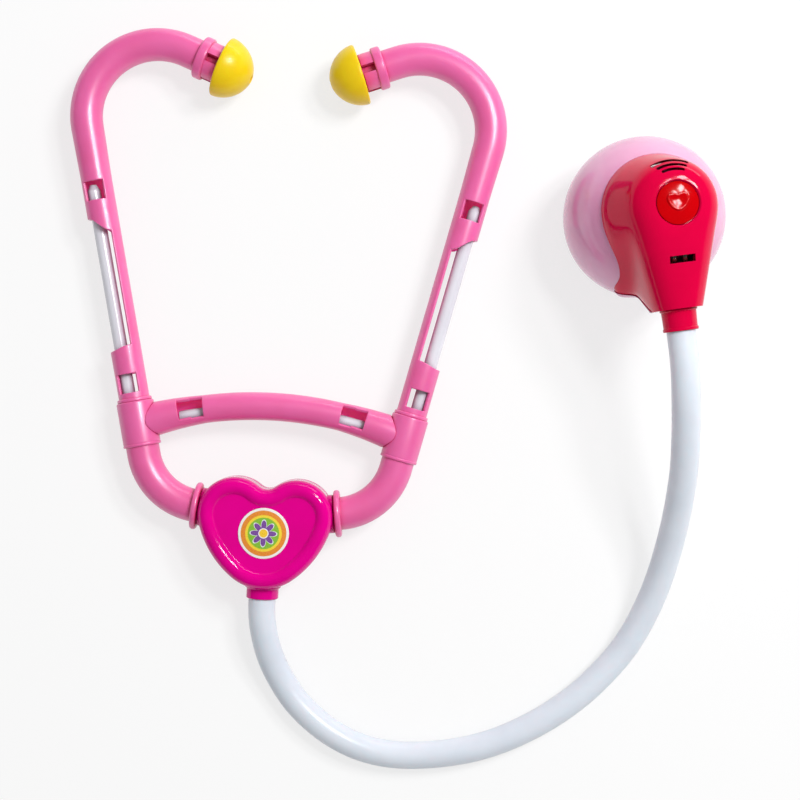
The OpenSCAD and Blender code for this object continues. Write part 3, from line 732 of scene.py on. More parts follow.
@dataclass(frozen=True)
class Metal:
    """Plated or drawn metal with fine draw lines and slight tarnish."""

    name: str
    colour: tuple[float, float, float]
    dull: tuple[float, float, float]
    roughness: float = 0.28
    lines: tuple[float, float, float] = (1.0, 1.0, 0.05)

    def build(self) -> bpy.types.Material:
        """Builds the material.

        Returns:
            The material.
        """
        graph = Graph(self.name)
        stains = graph.noise(260.0, 4.0)
        lines = graph.noise(5200.0, 2.0, self.lines)
        tarnish = graph.ranged(stains, (0.45, 0.75), (0.0, 0.7))
        rough = (self.roughness - 0.06, self.roughness + 0.12)
        graph.dress(
            {
                "Base Color": graph.mixed(tarnish, linear(self.colour), linear(self.dull)),
                "Metallic": 1.0,
                "Roughness": graph.ranged(stains, (0.3, 0.7), rough),
            }
        )
        graph.bumped((lines, 0.18, 0.00003))
        return graph.material


@dataclass(frozen=True)
class FlowerPrint:
    """Printed film of the hub's badge: a plain flower in yellow, green and orange rings."""

    name: str
    middle_m: tuple[float, float, float]
    radius_m: float

    def build(self) -> bpy.types.Material:
        """Builds the material.

        Returns:
            The material.
        """
        graph = Graph(self.name)
        centred = graph.add(
            "Mapping",
            {
                "Vector": graph.place,
                "Location": tuple(-part / self.radius_m for part in self.middle_m),
                "Scale": (1 / self.radius_m,) * 3,
            },
        ).outputs[0]
        split = graph.add("SeparateXYZ", {0: centred})
        x, y = split.outputs[0], split.outputs[1]
        squares = graph.sums("ADD", graph.sums("MULTIPLY", x, x), graph.sums("MULTIPLY", y, y))
        away = graph.sums("SQRT", squares)
        turn = graph.sums("ARCTAN2", y, x)
        petal = graph.sums("ABSOLUTE", graph.sums("COSINE", graph.sums("MULTIPLY", turn, 4.0)))
        petal_edge = graph.sums("ADD", graph.sums("MULTIPLY", petal, 0.27), 0.24)

        def inside(edge: object) -> Socket:
            """Returns one within that distance of the middle, with a soft step."""
            return graph.ranged(graph.sums("SUBTRACT", edge, away), (-0.01, 0.01), (0.0, 1.0))

        colour: object = linear((0.97, 0.97, 0.95))
        for edge, ink in (
            (0.9, (0.93, 0.55, 0.10)),
            (0.72, (0.98, 0.86, 0.16)),
            (0.62, (0.52, 0.76, 0.16)),
            (graph.sums("ADD", petal_edge, 0.035), (0.98, 0.98, 0.98)),
            (petal_edge, (0.47, 0.27, 0.62)),
            (0.2, (0.98, 0.98, 0.98)),
            (0.165, (0.98, 0.80, 0.10)),
        ):
            colour = graph.mixed(inside(edge), colour, linear(ink))
        dots = graph.add("TexVoronoi", {"Vector": graph.place, "Scale": 3800.0}).outputs[0]
        paper = graph.noise(1500.0, 3.0)
        shade = graph.ranged(dots, (0.0, 0.9), (0.0, 0.10))
        graph.dress(
            {
                "Base Color": graph.mixed(shade, colour, linear((0.75, 0.72, 0.7))),
                "Roughness": graph.ranged(paper, (0.3, 0.7), (0.22, 0.34)),
                "Coat Weight": 0.5,
            }
        )
        graph.bumped((paper, 0.08, 0.00004))
        return graph.material


@dataclass(frozen=True)
class BoardLacquer:
    """Green lacquered board with copper tracks under the lacquer."""

    name: str

    def build(self) -> bpy.types.Material:
        """Builds the material.

        Returns:
            The material.
        """
        graph = Graph(self.name)
        tracks = graph.add(
            "TexBrick",
            {
                "Vector": graph.place,
                "Color1": linear((0.03, 0.26, 0.11)),
                "Color2": linear((0.04, 0.31, 0.13)),
                "Mortar": linear((0.20, 0.48, 0.18)),
                "Scale": 340.0,
                "Mortar Size": 0.03,
            },
        )
        weave = graph.noise(2200.0, 3.0)
        shade = graph.ranged(weave, (0.4, 0.7), (0.0, 0.3))
        graph.dress(
            {
                "Base Color": graph.mixed(shade, tracks.outputs[0], linear((0.02, 0.16, 0.07))),
                "Roughness": graph.ranged(weave, (0.3, 0.7), (0.24, 0.4)),
                "Coat Weight": 0.6,
            }
        )
        graph.bumped((tracks.outputs[1], 0.3, 0.00005), (weave, 0.1, 0.00003))
        return graph.material


@dataclass(frozen=True)
class RidgedFilm:
    """Thin black film of the speaker's cone, with pressed ridges."""

    name: str

    def build(self) -> bpy.types.Material:
        """Builds the material.

        Returns:
            The material.
        """
        graph = Graph(self.name)
        waves = {"Vector": graph.place, "Scale": 260.0, "Distortion": 1.5}
        ridges = graph.add("TexWave", waves, wave_type="RINGS")
        dust = graph.noise(1200.0, 5.0)
        dusty = graph.ranged(dust, (0.5, 0.8), (0.0, 0.5))
        film, grey = linear((0.05, 0.05, 0.055)), linear((0.2, 0.19, 0.18))
        rough = graph.ranged(dust, (0.3, 0.7), (0.45, 0.7))
        graph.dress({"Base Color": graph.mixed(dusty, film, grey), "Roughness": rough})
        graph.bumped((ridges.outputs[1], 0.25, 0.0001), (dust, 0.1, 0.00003))
        return graph.material


@dataclass
class Palette:
    """All finishes of the toy, each built once."""

    badge_m: tuple[float, float, float]
    badge_radius_m: float
    made: dict[str, bpy.types.Material] = field(default_factory=dict)

    def build(self) -> None:
        """Makes every material."""
        finishes = (
            Plastic(
                "headset_pink", (0.945, 0.41, 0.675), (0.84, 0.13, 0.40),
                roughness=0.34, coat=0.12, soak=0.12, gloss=1.0,
            ),
            # headset_inside is a brighter, more saturated copy of the headset pink for the wall's inner face:
            # painted light for light shining through the thin wall, on top of its real subsurface soak.
            Plastic(
                "headset_inside", (1.0, 0.34, 0.66), (0.95, 0.18, 0.48),
                painted_shade_reach_m=0.0008, coat=0.0, soak=1.0, soak_reach_m=0.008,
            ),
            Plastic(
                "heart_magenta", (0.90, 0.0, 0.56), (0.66, 0.0, 0.36),
                roughness=0.08, coat=0.05, gloss=0.25,
            ),
            Plastic(
                "ball_pink", (0.91, 0.67, 0.805), (0.85, 0.44, 0.64),
                roughness=0.15, coat=0.35, cloud=0.35, soak=0.2, gloss=0.5,
            ),
            Plastic(
                "cover_red", (0.86, 0.01, 0.25), (0.60, 0.0, 0.12),
                roughness=0.07, coat=0.05, gloss=0.16,
            ),
            Plastic(
                "button_red", (0.78, 0.0, 0.03), (0.52, 0.0, 0.01),
                roughness=0.08, coat=0.05, gloss=0.2,
            ),
            Plastic(
                "ear_tip_yellow", (0.955, 0.83, 0.03), (0.80, 0.56, 0.0),
                roughness=0.33, coat=0.1, soak=0.15,
            ),
            Plastic(
                "rod_white", (0.90, 0.90, 0.93), (0.66, 0.62, 0.70),
                roughness=0.2, coat=0.2, gloss=0.5,
            ),
            Plastic(
                "hose_white", (0.89, 0.915, 0.95), (0.70, 0.74, 0.80),
                roughness=0.3, coat=0.1, soak=0.2, painted_shade_reach_m=0.008,
            ),
            Plastic("plug_white", (0.91, 0.91, 0.91), (0.68, 0.68, 0.70), roughness=0.38, coat=0.1),
            Plastic("switch_black", (0.07, 0.07, 0.075), (0.03, 0.03, 0.03), roughness=0.42, coat=0.0),
            Plastic("speaker_steel", (0.24, 0.24, 0.26), (0.12, 0.12, 0.13), roughness=0.36, coat=0.3),
            Metal("screw_steel", (0.76, 0.76, 0.79), (0.52, 0.51, 0.50)),
            Metal("spring_steel", (0.72, 0.72, 0.75), (0.46, 0.45, 0.44), 0.24),
            Metal("magnet_steel", (0.64, 0.64, 0.67), (0.42, 0.42, 0.43), 0.3, (1.0, 0.05, 1.0)),
            Metal("contact_nickel", (0.80, 0.78, 0.73), (0.50, 0.46, 0.40), 0.2, (0.05, 1.0, 1.0)),
            Metal("cell_steel", (0.80, 0.80, 0.82), (0.58, 0.57, 0.56), 0.2, (0.06, 1.0, 1.0)),
            FlowerPrint("badge_paper", self.badge_m, self.badge_radius_m),
            BoardLacquer("board_green"),
            RidgedFilm("cone_black"),
        )
        for finish in finishes:
            self.made[finish.name] = finish.build()
            LOG.info("finish %s", finish.name)

    def get(self, name: str) -> bpy.types.Material:
        """Returns a finish by name."""
        return self.made[name]

    def dress_nodes(self, nodes: dict[str, bpy.types.Object], record: dict) -> None:
        """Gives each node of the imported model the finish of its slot.

        Args:
            nodes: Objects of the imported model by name.
            record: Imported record.
        """
        for part in record["subparts"]:
            mesh = nodes[part["node"]].data
            mesh.materials.clear()
            mesh.materials.append(self.get(part["material_slot"]))


# Pieces


@dataclass
class SubAssembly:
    """What the sub-assemblies share: how a mesh becomes a finished piece."""

    palette: Palette
    body: str = "stethoscope"

    def piece(
        self,
        name: str,
        shape: Shape,
        stands_for: Sequence[str],
        slot: str,
        inside: str = "",
        sharp: float = 35.0,
        outward: bool = True,
    ) -> bpy.types.Object:
        """Finishes a mesh as a piece that rides on the sub-assembly's body.

        Args:
            name: Name of the piece.
            shape: Its mesh in millimetres, which is freed.
            stands_for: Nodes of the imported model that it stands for.
            slot: Material slot of the record, which is also its finish.
            inside: Finish of the inside of its wall, if that is another one.
            sharp: Angle in degrees above which an edge stays sharp.
            outward: Whether the faces are turned outwards first.

        Returns:
            The object.
        """
        if outward:
            face_out(shape)
        bmesh.ops.scale(shape, vec=(METRES_PER_MM,) * 3, verts=shape.verts)
        mesh = as_mesh(name, shape)
        mesh.shade_smooth()
        mesh.set_sharp_from_angle(angle=math.radians(sharp))
        piece = placed(name, mesh)
        for finish in filter(None, (slot, inside)):
            mesh.materials.append(self.palette.get(finish))
        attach(piece, self.body)
        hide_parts(*stands_for)
        LOG.info("piece %s: %d faces", name, len(mesh.polygons))
        return piece

    def wall(self, piece: bpy.types.Object, thickness: float) -> None:
        """Gives a skin its wall, inwards, with the inside in the second finish.

        Args:
            piece: The skin.
            thickness: Thickness of the wall.
        """
        solidify = piece.modifiers.new("wall", "SOLIDIFY")
        solidify.thickness = thickness * METRES_PER_MM
        solidify.offset = -1.0
        solidify.use_even_offset = True
        solidify.material_offset = 1

    def soften(self, piece: bpy.types.Object, width: float, segments: int = 2) -> None:
        """Rounds a piece's sharp edges.

        Args:
            piece: The piece.
            width: Width of the rounding.
            segments: Steps of the rounding.
        """
        bevel = piece.modifiers.new("edges", "BEVEL")
        bevel.width = width * METRES_PER_MM
        bevel.segments = segments
        bevel.limit_method = "ANGLE"
        bevel.angle_limit = math.radians(SOFT_ANGLE)
        bevel.harden_normals = False
        weighted = piece.modifiers.new("normals", "WEIGHTED_NORMAL")
        weighted.keep_sharp = True


@dataclass
class Hose(SubAssembly):
    """Flexible hose from the heart to the chest piece."""

    diameter: float = 10.8
    sides: int = 32
    fineness: int = 4
    route: tuple[tuple[float, float, float], ...] = (
        (0, -19.8, 12.2),
        (0, -26.8, 12.2),
        (0, -29.8, 12.2),
        (0.5, -36, 11.7),
        (2.4, -45, 9.8),
        (5.5, -53.5, 7.4),
        (9.8, -61.2, 5.9),
        (15.2, -68.4, 5.6),
        (22.6, -75.2, 5.6),
        (31.6, -81.2, 5.6),
        (42.6, -85.8, 5.6),
        (55, -87.9, 5.6),
        (68, -87.5, 5.6),
        (82, -85.2, 5.6),
        (95, -81.2, 5.6),
        (108, -75, 5.6),
        (121, -66.6, 5.6),
        (134, -55.2, 5.6),
        (147.5, -38, 6.2),
        (156.5, -16, 10.8),
        (160.5, 8, 21),
        (161, 30.5, 34),
        (159.5, 47, 43),
        (157.5, 62, 49.6),
        (155.9, 74, 52.2),
        (154.18, 83.85, 52.67),
        (153.63, 86.8, 52.73),
        (152.34, 93.68, 52.87),
    )

    def line(self) -> list[Vector]:
        """Draws the smooth middle line through the route.

        Returns:
            Its points, in millimetres.
        """
        points = [Vector(point) for point in self.route]
        line: list[Vector] = []
        for index in range(len(points) - 1):
            a, b = points[max(index - 1, 0)], points[index]
            c, d = points[index + 1], points[min(index + 2, len(points) - 1)]
            for step in range(self.fineness):
                t = step / self.fineness
                line.append(
                    0.5
                    * (
                        2 * b
                        + (c - a) * t
                        + (2 * a - 5 * b + 4 * c - d) * t * t
                        + (3 * b - a - 3 * c + d) * t**3
                    )
                )
        line.append(points[-1])
        return line

    def build(self) -> None:
        line = self.line()
        stations = []
        for index, point in enumerate(line):
            ahead = line[min(index + 1, len(line) - 1)] - line[max(index - 1, 0)]
            stations.append((facing(point, ahead), self.diameter / 2))
        shape = bmesh.new()
        sweep(shape, stations, self.sides)
        piece = self.piece("hose_tube", shape, ["hose"], "hose_white")
        length = sum((b - a).length for a, b in zip(line, line[1:]))
        LOG.info("hose of %.1f mm", length)


@dataclass
class Headset(SubAssembly):
    """Ear arms, tees, crossbar and yoke tubes."""

    tee: tuple[float, float] = (53.2, 40.0)
    splay: float = 13.0
    arm_length: float = 120.0
    bend_radius: float = 28.5
    droop: float = 21.0
    arm_radius: float = 6.1
    bend_tube_radius: float = 6.45
    straight_rows: tuple[float, ...] = (
        2.0, 5.5, 9.0, 12.6, 16.4, 20.2, 24.0, 27.6, 35.4, 40.0, 45.0, 50.0, 55.0, 60.0, 65.0, 70.0, 74.0,
        86.4, 90.4, 94.2, 98.0, 102.0, 106.5, 111.0, 115.5, 120.0,
    )
    widens_from: float = 100.0
    bend_steps: int = 40
    wall_thickness: float = 1.2
    sectors: int = 64
    notch_angle: float = 123.0
    window_angle: float = 39.5
    windows: tuple[tuple[float, float, bool], ...] = ((12.6, 20.2, True), (90.4, 98.0, False))
    notch_low: tuple[float, float] = (31.6, 29.9)
    notch_high: tuple[float, float] = (77.5, 83.6)
    notch_reach: tuple[float, float] = (26.0, 89.0)
    arm_half_width: float = 7.0
    seat_at: float = 9.0
    seat: Section = ((5.2, 0, 0), (6.85, 0, 0.3), (6.85, 1.4, 0.5), (5.2, 1.4, 0))
    web_at: tuple[float, ...] = (8.6, 25.0, 86.0)
    web: Section = ((0, 0, 0), (5.4, 0, 0), (5.4, 2.4, 0), (0, 2.4, 0))
    bore_radius: float = 2.3
    ring_radius: float = 8.6
    ring_at: float = 5.6
    ring_width: float = 3.8
    socket_radii: tuple[float, float] = (5.9, 7.7)
    socket_length: float = 5.4
    socket_slot: float = 3.0
    socket_slot_radius: float = 7.0
    stem_radius: float = 4.5
    stem_bead_radius: float = 4.9
    stem_bead_at: float = 18.4
    stem_end: float = 20.0
    sunk: float = 0.5
    collar: Section = (
        (6.15, -9.0, 0.2), (7.5, -9.0, 0.5), (7.5, -8.1, 0.2), (7.32, -7.85, 0.1),
        (7.4, -7.4, 0.2), (7.4, 9.0, 0.8), (6.15, 9.0, 0.2),
    )
    stub: Section = ((0, 6.8, 0), (4.0, 6.8, 0), (4.0, 13.4, 0.5), (0, 13.4, 0))
    bar_rise: float = 9.8
    bar_radius: float = 5.6
    bar_flare: float = 1.15
    bar_flare_length: float = 20.0
    bar_ends_short: float = 7.2
    bar_steps: tuple[int, int] = (8, 6)
    bar_window_at: float = 32.2
    bar_window_half: float = 5.0
    bar_window_sides: tuple[float, float] = (-3.0, 5.0)
    clasp_radius: float = 7.75
    yoke_tube_radius: float = 6.6
    yoke_bend_radius: float = 25.0
    yoke_bend_steps: int = 26
    yoke_foot: float = 1.0
    spigot_radius: float = 6.1
    spigot_rows: tuple[float, float] = (-2.2, -9.0)
    yoke_top: float = -9.02
    flange: Section = ((0, 0, 0), (9.45, 0, 1.1), (9.45, 2.5, 1.1), (6.0, 2.5, 0), (0, 2.5, 0))
    neck: Section = (
        (3.5, -4.9, 0.2), (6.2, -4.9, 0.3), (6.2, -3.1, 0.3), (5.3, -2.9, 0), (5.3, 0.5, 0), (3.5, 0.5, 0),
    )

    def arm_place(self) -> Matrix:
        """Returns the frame of the right arm: Y along it, X outwards."""
        return moved(*self.tee, PLANE_H) @ turned(-self.splay, "Z")

    def bend_turn(self) -> float:
        """Returns the angle of the arm's big bend."""
        return 90 + self.droop + self.splay

    def ear_place(self) -> Matrix:
        """Works out the frame of the right ear end.

        Returns:
            The frame, with X along the ear end.
        """
        centre = self.arm_place() @ moved(-self.bend_radius, self.arm_length)
        bend = centre @ turned(self.bend_turn(), "Z")
        return bend @ moved(self.bend_radius) @ turned(90, "Z")

    def boss_place(self) -> Matrix:
        """Returns the frame of the right boss of the heart: X outwards."""
        return moved(*BOSS_AT, PLANE_H) @ turned(BOSS_TILT, "Z")

    def arm_skin(self) -> Shape:
        """Builds the outer skin of the right ear arm, with its windows and notch cut.

        Returns:
            The open skin.
        """
        shape = bmesh.new()
        frame = self.arm_place()
        stations = []
        for row in self.straight_rows:
            part = max(0.0, row - self.widens_from) / (self.arm_length - self.widens_from)
            radius = self.arm_radius + (self.bend_tube_radius - self.arm_radius) * part
            stations.append((frame @ moved(0, row) @ ALONG_Y, radius))
        turn = self.bend_turn()
        centre = frame @ moved(-self.bend_radius, self.arm_length)
        for step in range(1, self.bend_steps + 1):
            bend = centre @ turned(turn * step / self.bend_steps, "Z")
            stations.append((bend @ moved(self.bend_radius) @ ALONG_Y, self.bend_tube_radius))
        sweep(shape, stations, self.sectors, closed=False)
        last = [edge for edge in shape.edges if edge.is_boundary]
        end = self.ear_place().translation
        last = [edge for edge in last if (edge.verts[0].co - end).length < 2 * self.bend_tube_radius]
        geometry = bmesh.ops.extrude_edge_only(shape, edges=last)["geom"]
        ahead = self.ear_place().to_3x3() @ Vector((self.ring_at + self.sunk, 0, 0))
        bmesh.ops.translate(shape, vec=ahead, verts=only_verts(geometry))
        self.cut_windows(shape, frame)
        return shape

    def cut_windows(self, shape: Shape, frame: Matrix) -> None:
        """Opens the two windows and the long notch in the arm's skin.

        Args:
            shape: Skin of the arm.
            frame: Frame of the arm.
        """
        inverse = frame.inverted()
        spine_x = self.arm_radius * math.cos(math.radians(self.notch_angle))
        limits = []
        first, last = self.notch_reach
        for at_spine, at_outside in (self.notch_low, self.notch_high):
            start = frame @ Vector((spine_x, at_spine, 0))
            across = frame.to_3x3() @ Vector((self.arm_radius - spine_x, at_outside - at_spine, 0))
            normal = across.cross(Vector((0, 0, 1))).normalized()
            near = []
            for face in shape.faces:
                middle = inverse @ face.calc_center_median()
                if first < middle.y < last and abs(middle.x) < self.arm_half_width:
                    near.append(face)
            geometry: list = list(near)
            geometry += list({edge for face in near for edge in face.edges})
            geometry += list({vert for face in near for vert in face.verts})
            cut = bmesh.ops.bisect_plane(shape, geom=geometry, dist=WELD, plane_co=start, plane_no=normal)
            limits.append((at_spine, at_outside, only_verts(cut["geom_cut"])))
        doomed = []
        for face in shape.faces:
            middle = inverse @ face.calc_center_median()
            if abs(middle.x) > self.arm_half_width or not 0 < middle.y < self.widens_from:
                continue
            angle = abs(math.degrees(math.atan2(middle.z, middle.x)))
            part = (middle.x - spine_x) / (self.arm_radius - spine_x)
            low = self.notch_low[0] + (self.notch_low[1] - self.notch_low[0]) * part
            high = self.notch_high[0] + (self.notch_high[1] - self.notch_high[0]) * part
            if angle < self.notch_angle and low < middle.y < high:
                doomed.append(face)
            for start, end, through in self.windows:
                if self.window_angle < angle < self.notch_angle and start < middle.y < end:
                    if through or middle.z > 0:
                        doomed.append(face)
        bmesh.ops.delete(shape, geom=list(set(doomed)), context="FACES")
        for at_spine, at_outside, verts in limits:
            for vert in verts:
                if not vert.is_valid:
                    continue
                local = inverse @ vert.co
                part = min(max((local.x - spine_x) / (self.arm_radius - spine_x), 0.0), 1.0)
                if local.x < spine_x - 0.05:
                    continue
                eased = part * part * (3 - 2 * part)
                local.y = at_spine + (at_outside - at_spine) * eased
                vert.co = frame @ local

    def arm_fittings(self) -> Shape:
        """Builds the solid parts of the right ear arm: seat ring, webs, raised ring, socket and stem.

        Returns:
            The mesh.
        """
        shape = bmesh.new()
        arm, ear = self.arm_place(), self.ear_place()
        lathe(shape, rounded(self.seat), arm @ moved(0, self.seat_at) @ ALONG_Y)
        for at in self.web_at:
            lathe(shape, rounded(self.web), arm @ moved(0, at) @ ALONG_Y, steps=64)
        outward = ear @ ALONG_X
        bore, ring_start, ring_end = self.bore_radius, self.ring_at, self.ring_at + self.ring_width
        edge, foot = self.ring_radius, ring_end - self.sunk
        ring = [
            (bore, ring_start, 0.2),
            (edge, ring_start, 0.9),
            (edge, ring_end, 0.7),
            (bore, ring_end, 0.2),
        ]
        lathe(shape, rounded(ring), outward)
        socket_end = ring_end + self.socket_length
        inner, outer = self.socket_radii
        wall = [(inner, foot, 0), (outer, foot, 0), (outer, socket_end, 0.4), (inner, socket_end, 0.3)]
        slot = math.degrees(2 * math.asin(self.socket_slot / 2 / self.socket_slot_radius))
        for quarter in range(4):
            start = turned(quarter * 90 + slot / 2 - 90, "Z")
            lathe(shape, rounded(wall), outward @ start, steps=22, degrees=90 - slot)
        stem = [
            (bore, foot, 0),
            (self.stem_radius, foot, 0),
            (self.stem_radius, self.stem_bead_at, 0),
            (self.stem_bead_radius, self.stem_bead_at, 0.2),
            (self.stem_radius, self.stem_end, 0.3),
            (bore, self.stem_end, 0.3),
        ]
        lathe(shape, rounded(stem), outward, steps=64)
        return shape

    def build_arms(self) -> None:
        """Builds both ear arms: a walled skin with its fittings."""
        for side in Side:
            name = side.name.lower() + "_ear_arm"
            skin = self.arm_skin()
            carry(skin, side_matrix(side))
            piece = self.piece(name + "_tube", skin, [name], "headset_pink", inside="headset_inside")
            self.wall(piece, self.wall_thickness)
            self.soften(piece, 0.3)
            fittings = self.arm_fittings()
            carry(fittings, side_matrix(side))
            self.piece(name + "_fittings", fittings, [name], "headset_pink")

    def build_tees(self) -> None:
        """Builds the collars, with the plug that goes in the crossbar."""
        bar_turn = math.degrees(math.asin(self.tee[0] / self.bar_arc()))
        for side in Side:
            shape = bmesh.new()
            lathe(shape, rounded(self.collar), self.arm_place() @ ALONG_Y)
            stub = moved(*self.tee, PLANE_H) @ turned(180 - bar_turn, "Z") @ ALONG_X
            lathe(shape, rounded(self.stub), stub, steps=64)
            carry(shape, side_matrix(side))
            name = side.name.lower() + "_tee"
            self.piece(name + "_collar", shape, [name], "headset_pink")

    def bar_arc(self) -> float:
        """Returns the radius of the crossbar's arch."""
        return (self.tee[0] ** 2 + self.bar_rise**2) / (2 * self.bar_rise)

    def build_crossbar(self) -> None:
        """Builds the arched crossbar, with a window near each end and ends that clasp the collars."""
        arc = self.bar_arc()
        middle = Vector((0, self.tee[1] + self.bar_rise - arc, PLANE_H))
        full = math.degrees(math.asin(self.tee[0] / arc))
        reach = full - math.degrees(self.bar_ends_short / arc)
        window = math.degrees(math.asin(self.bar_window_at / arc))
        half_window = math.degrees(self.bar_window_half / arc)
        near, far = window - half_window, window + half_window
        between, beyond = self.bar_steps
        stops = [near * step / between for step in range(between)] + [near, window]
        stops += [far + (reach - far) * step / beyond for step in range(beyond + 1)]
        angles = sorted({-stop for stop in stops} | set(stops))
        shape = bmesh.new()
        stations = []
        for angle in angles:
            turn = math.radians(angle)
            point = middle + Vector((arc * math.sin(turn), arc * math.cos(turn), 0))
            ahead = (math.cos(turn), -math.sin(turn), 0)
            part = max(0.0, 1 - (reach - abs(angle)) * math.radians(1) * arc / self.bar_flare_length)
            radius = self.bar_radius + self.bar_flare * part
            stations.append((facing(point, ahead), radius))
        rings = sweep(shape, stations, self.sectors, closed=False)
        for ring, sign in ((rings[0], -1), (rings[-1], 1)):
            self.clasp(ring, sign, full)
        doomed = []
        inmost, outmost = self.bar_window_sides
        for face in shape.faces:
            spot = face.calc_center_median() - middle
            angle = abs(math.degrees(math.atan2(spot.x, spot.y)))
            across = math.hypot(spot.x, spot.y) - arc
            if abs(angle - window) < half_window and spot.z > 0 and inmost < across < outmost:
                doomed.append(face)
        bmesh.ops.delete(shape, geom=doomed, context="FACES")
        piece = self.piece("crossbar_tube", shape, ["crossbar"], "headset_pink", inside="headset_inside")
        self.wall(piece, self.wall_thickness)
        self.soften(piece, 0.45, 3)

    def clasp(self, ring: list[Vert], sign: int, full: float) -> None:
        """Draws an end ring of the crossbar out to the skin of its collar.

        Args:
            ring: Vertices of the end ring.
            sign: Side of the collar.
            full: Angle of the collar on the arch, in degrees.
        """
        axis = Vector((sign * math.sin(math.radians(self.splay)), math.cos(math.radians(self.splay)), 0))
        collar = Vector((sign * self.tee[0], self.tee[1], PLANE_H))
        ahead = Vector((sign * math.cos(math.radians(full)), -math.sin(math.radians(full)), 0))
        flat_ahead = ahead - ahead.dot(axis) * axis
        for vert in ring:
            offset = vert.co - collar
            flat = offset - offset.dot(axis) * axis
            a = flat_ahead.length_squared
            b = 2 * flat.dot(flat_ahead)
            c = flat.length_squared - self.clasp_radius**2
            root = b * b - 4 * a * c
            if root > 0:
                vert.co += ahead * ((-b - math.sqrt(root)) / (2 * a))

    def build_yoke(self) -> None:
        """Builds the two yoke tubes with their flange rings and necks."""
        arm_dir = Vector((math.sin(math.radians(self.splay)), math.cos(math.radians(self.splay))))
        boss_dir = Vector((math.cos(math.radians(BOSS_TILT)), math.sin(math.radians(BOSS_TILT))))
        gap = Vector(self.tee) - Vector(BOSS_AT)

        def cross(a: Vector, b: Vector) -> float:
            """Returns the flat cross product."""
            return a.x * b.y - a.y * b.x

        knee_drop = cross(gap, boss_dir) / cross(arm_dir, boss_dir)
        knee_out = cross(gap, arm_dir) / cross(boss_dir, arm_dir)
        turn = 90 - self.splay - BOSS_TILT
        tangent = self.yoke_bend_radius * math.tan(math.radians(turn / 2))
        arm, boss = self.arm_place(), self.boss_place()
        for side in Side:
            shape = bmesh.new()
            stations = [(arm @ moved(0, row) @ ALONG_Y, self.spigot_radius) for row in self.spigot_rows]
            for row in (self.yoke_top, tangent - knee_drop):
                stations.append((arm @ moved(0, row) @ ALONG_Y, self.yoke_tube_radius))
            centre = arm @ moved(-self.yoke_bend_radius, tangent - knee_drop)
            for step in range(1, self.yoke_bend_steps + 1):
                swing = turned(-turn * step / self.yoke_bend_steps, "Z")
                bend = centre @ swing @ moved(self.yoke_bend_radius)
                stations.append((bend @ ALONG_Y, self.yoke_tube_radius))
            last = (boss @ moved(self.yoke_foot) @ turned(90, "Z") @ ALONG_Y).to_3x3().to_4x4()
            last.translation = (boss @ moved(self.yoke_foot)).translation
            stations.append((last, self.yoke_tube_radius))
            sweep(shape, stations, self.sectors)
            outward = boss @ ALONG_X
            lathe(shape, rounded(self.flange), outward)
            lathe(shape, rounded(self.neck), outward, steps=64)
            carry(shape, side_matrix(side))
            name = side.name.lower() + "_yoke_tube"
            self.piece(name + "_bend", shape, [name], "headset_pink")
        LOG.info("yoke foot straight %.1f mm", knee_out - tangent)

    def build(self) -> None:
        """Builds the headset."""
        self.build_arms()
        self.build_tees()
        self.build_crossbar()
        self.build_yoke()


@dataclass
class EarTips:
    """Two domed ear tips that turn on the stems of the arms."""

    palette: Palette
    headset: Headset
    radius: float = 12.2
    height: float = 13.3
    seat_at: float = 15.1
    hole_radius: float = 1.5
    bore_radius: float = 4.55
    groove_radius: float = 5.3
    groove: tuple[float, float] = (3.0, 5.2)
    rim_inset: float = 0.05
    hole_flare: tuple[float, float] = (0.4, 0.35)
    dome_steps: int = 22

    def outline(self) -> list[tuple[float, float]]:
        """Draws half of a tip's section.

        Returns:
            Points of radius and of height above the flat back.
        """
        arc = (self.height**2 + self.radius**2) / (2 * self.radius)
        middle = self.radius - arc
        flare_out, flare_deep = self.hole_flare
        top = math.acos((self.hole_radius + flare_out - middle) / arc)
        bore, wide, (low, high) = self.bore_radius, self.groove_radius, self.groove
        points: list[tuple[float, float, float]] = [(bore, 0, 0.2), (self.radius - self.rim_inset, 0, 1.0)]
        for step in range(2, self.dome_steps + 1):
            turn = top * step / self.dome_steps
            points.append((middle + arc * math.cos(turn), arc * math.sin(turn), 0))
        hole_top = points[-1][1]
        points += [(self.hole_radius, hole_top - flare_deep, 0), (self.hole_radius, high, 0)]
        points += [(wide, high, 0), (wide, low, 0), (bore, low, 0)]
        return rounded(points)

    def build(self) -> None:
        """Builds both tips, each on its own body."""
        for side in Side:
            maker = SubAssembly(self.palette, side.name.lower() + "_tip")
            shape = bmesh.new()
            place = self.headset.ear_place() @ moved(self.seat_at) @ ALONG_X
            lathe(shape, self.outline(), place)
            carry(shape, side_matrix(side))
            node = side.name.lower() + "_ear_tip"
            maker.piece(node + "_dome", shape, [node], "ear_tip_yellow", sharp=50.0)


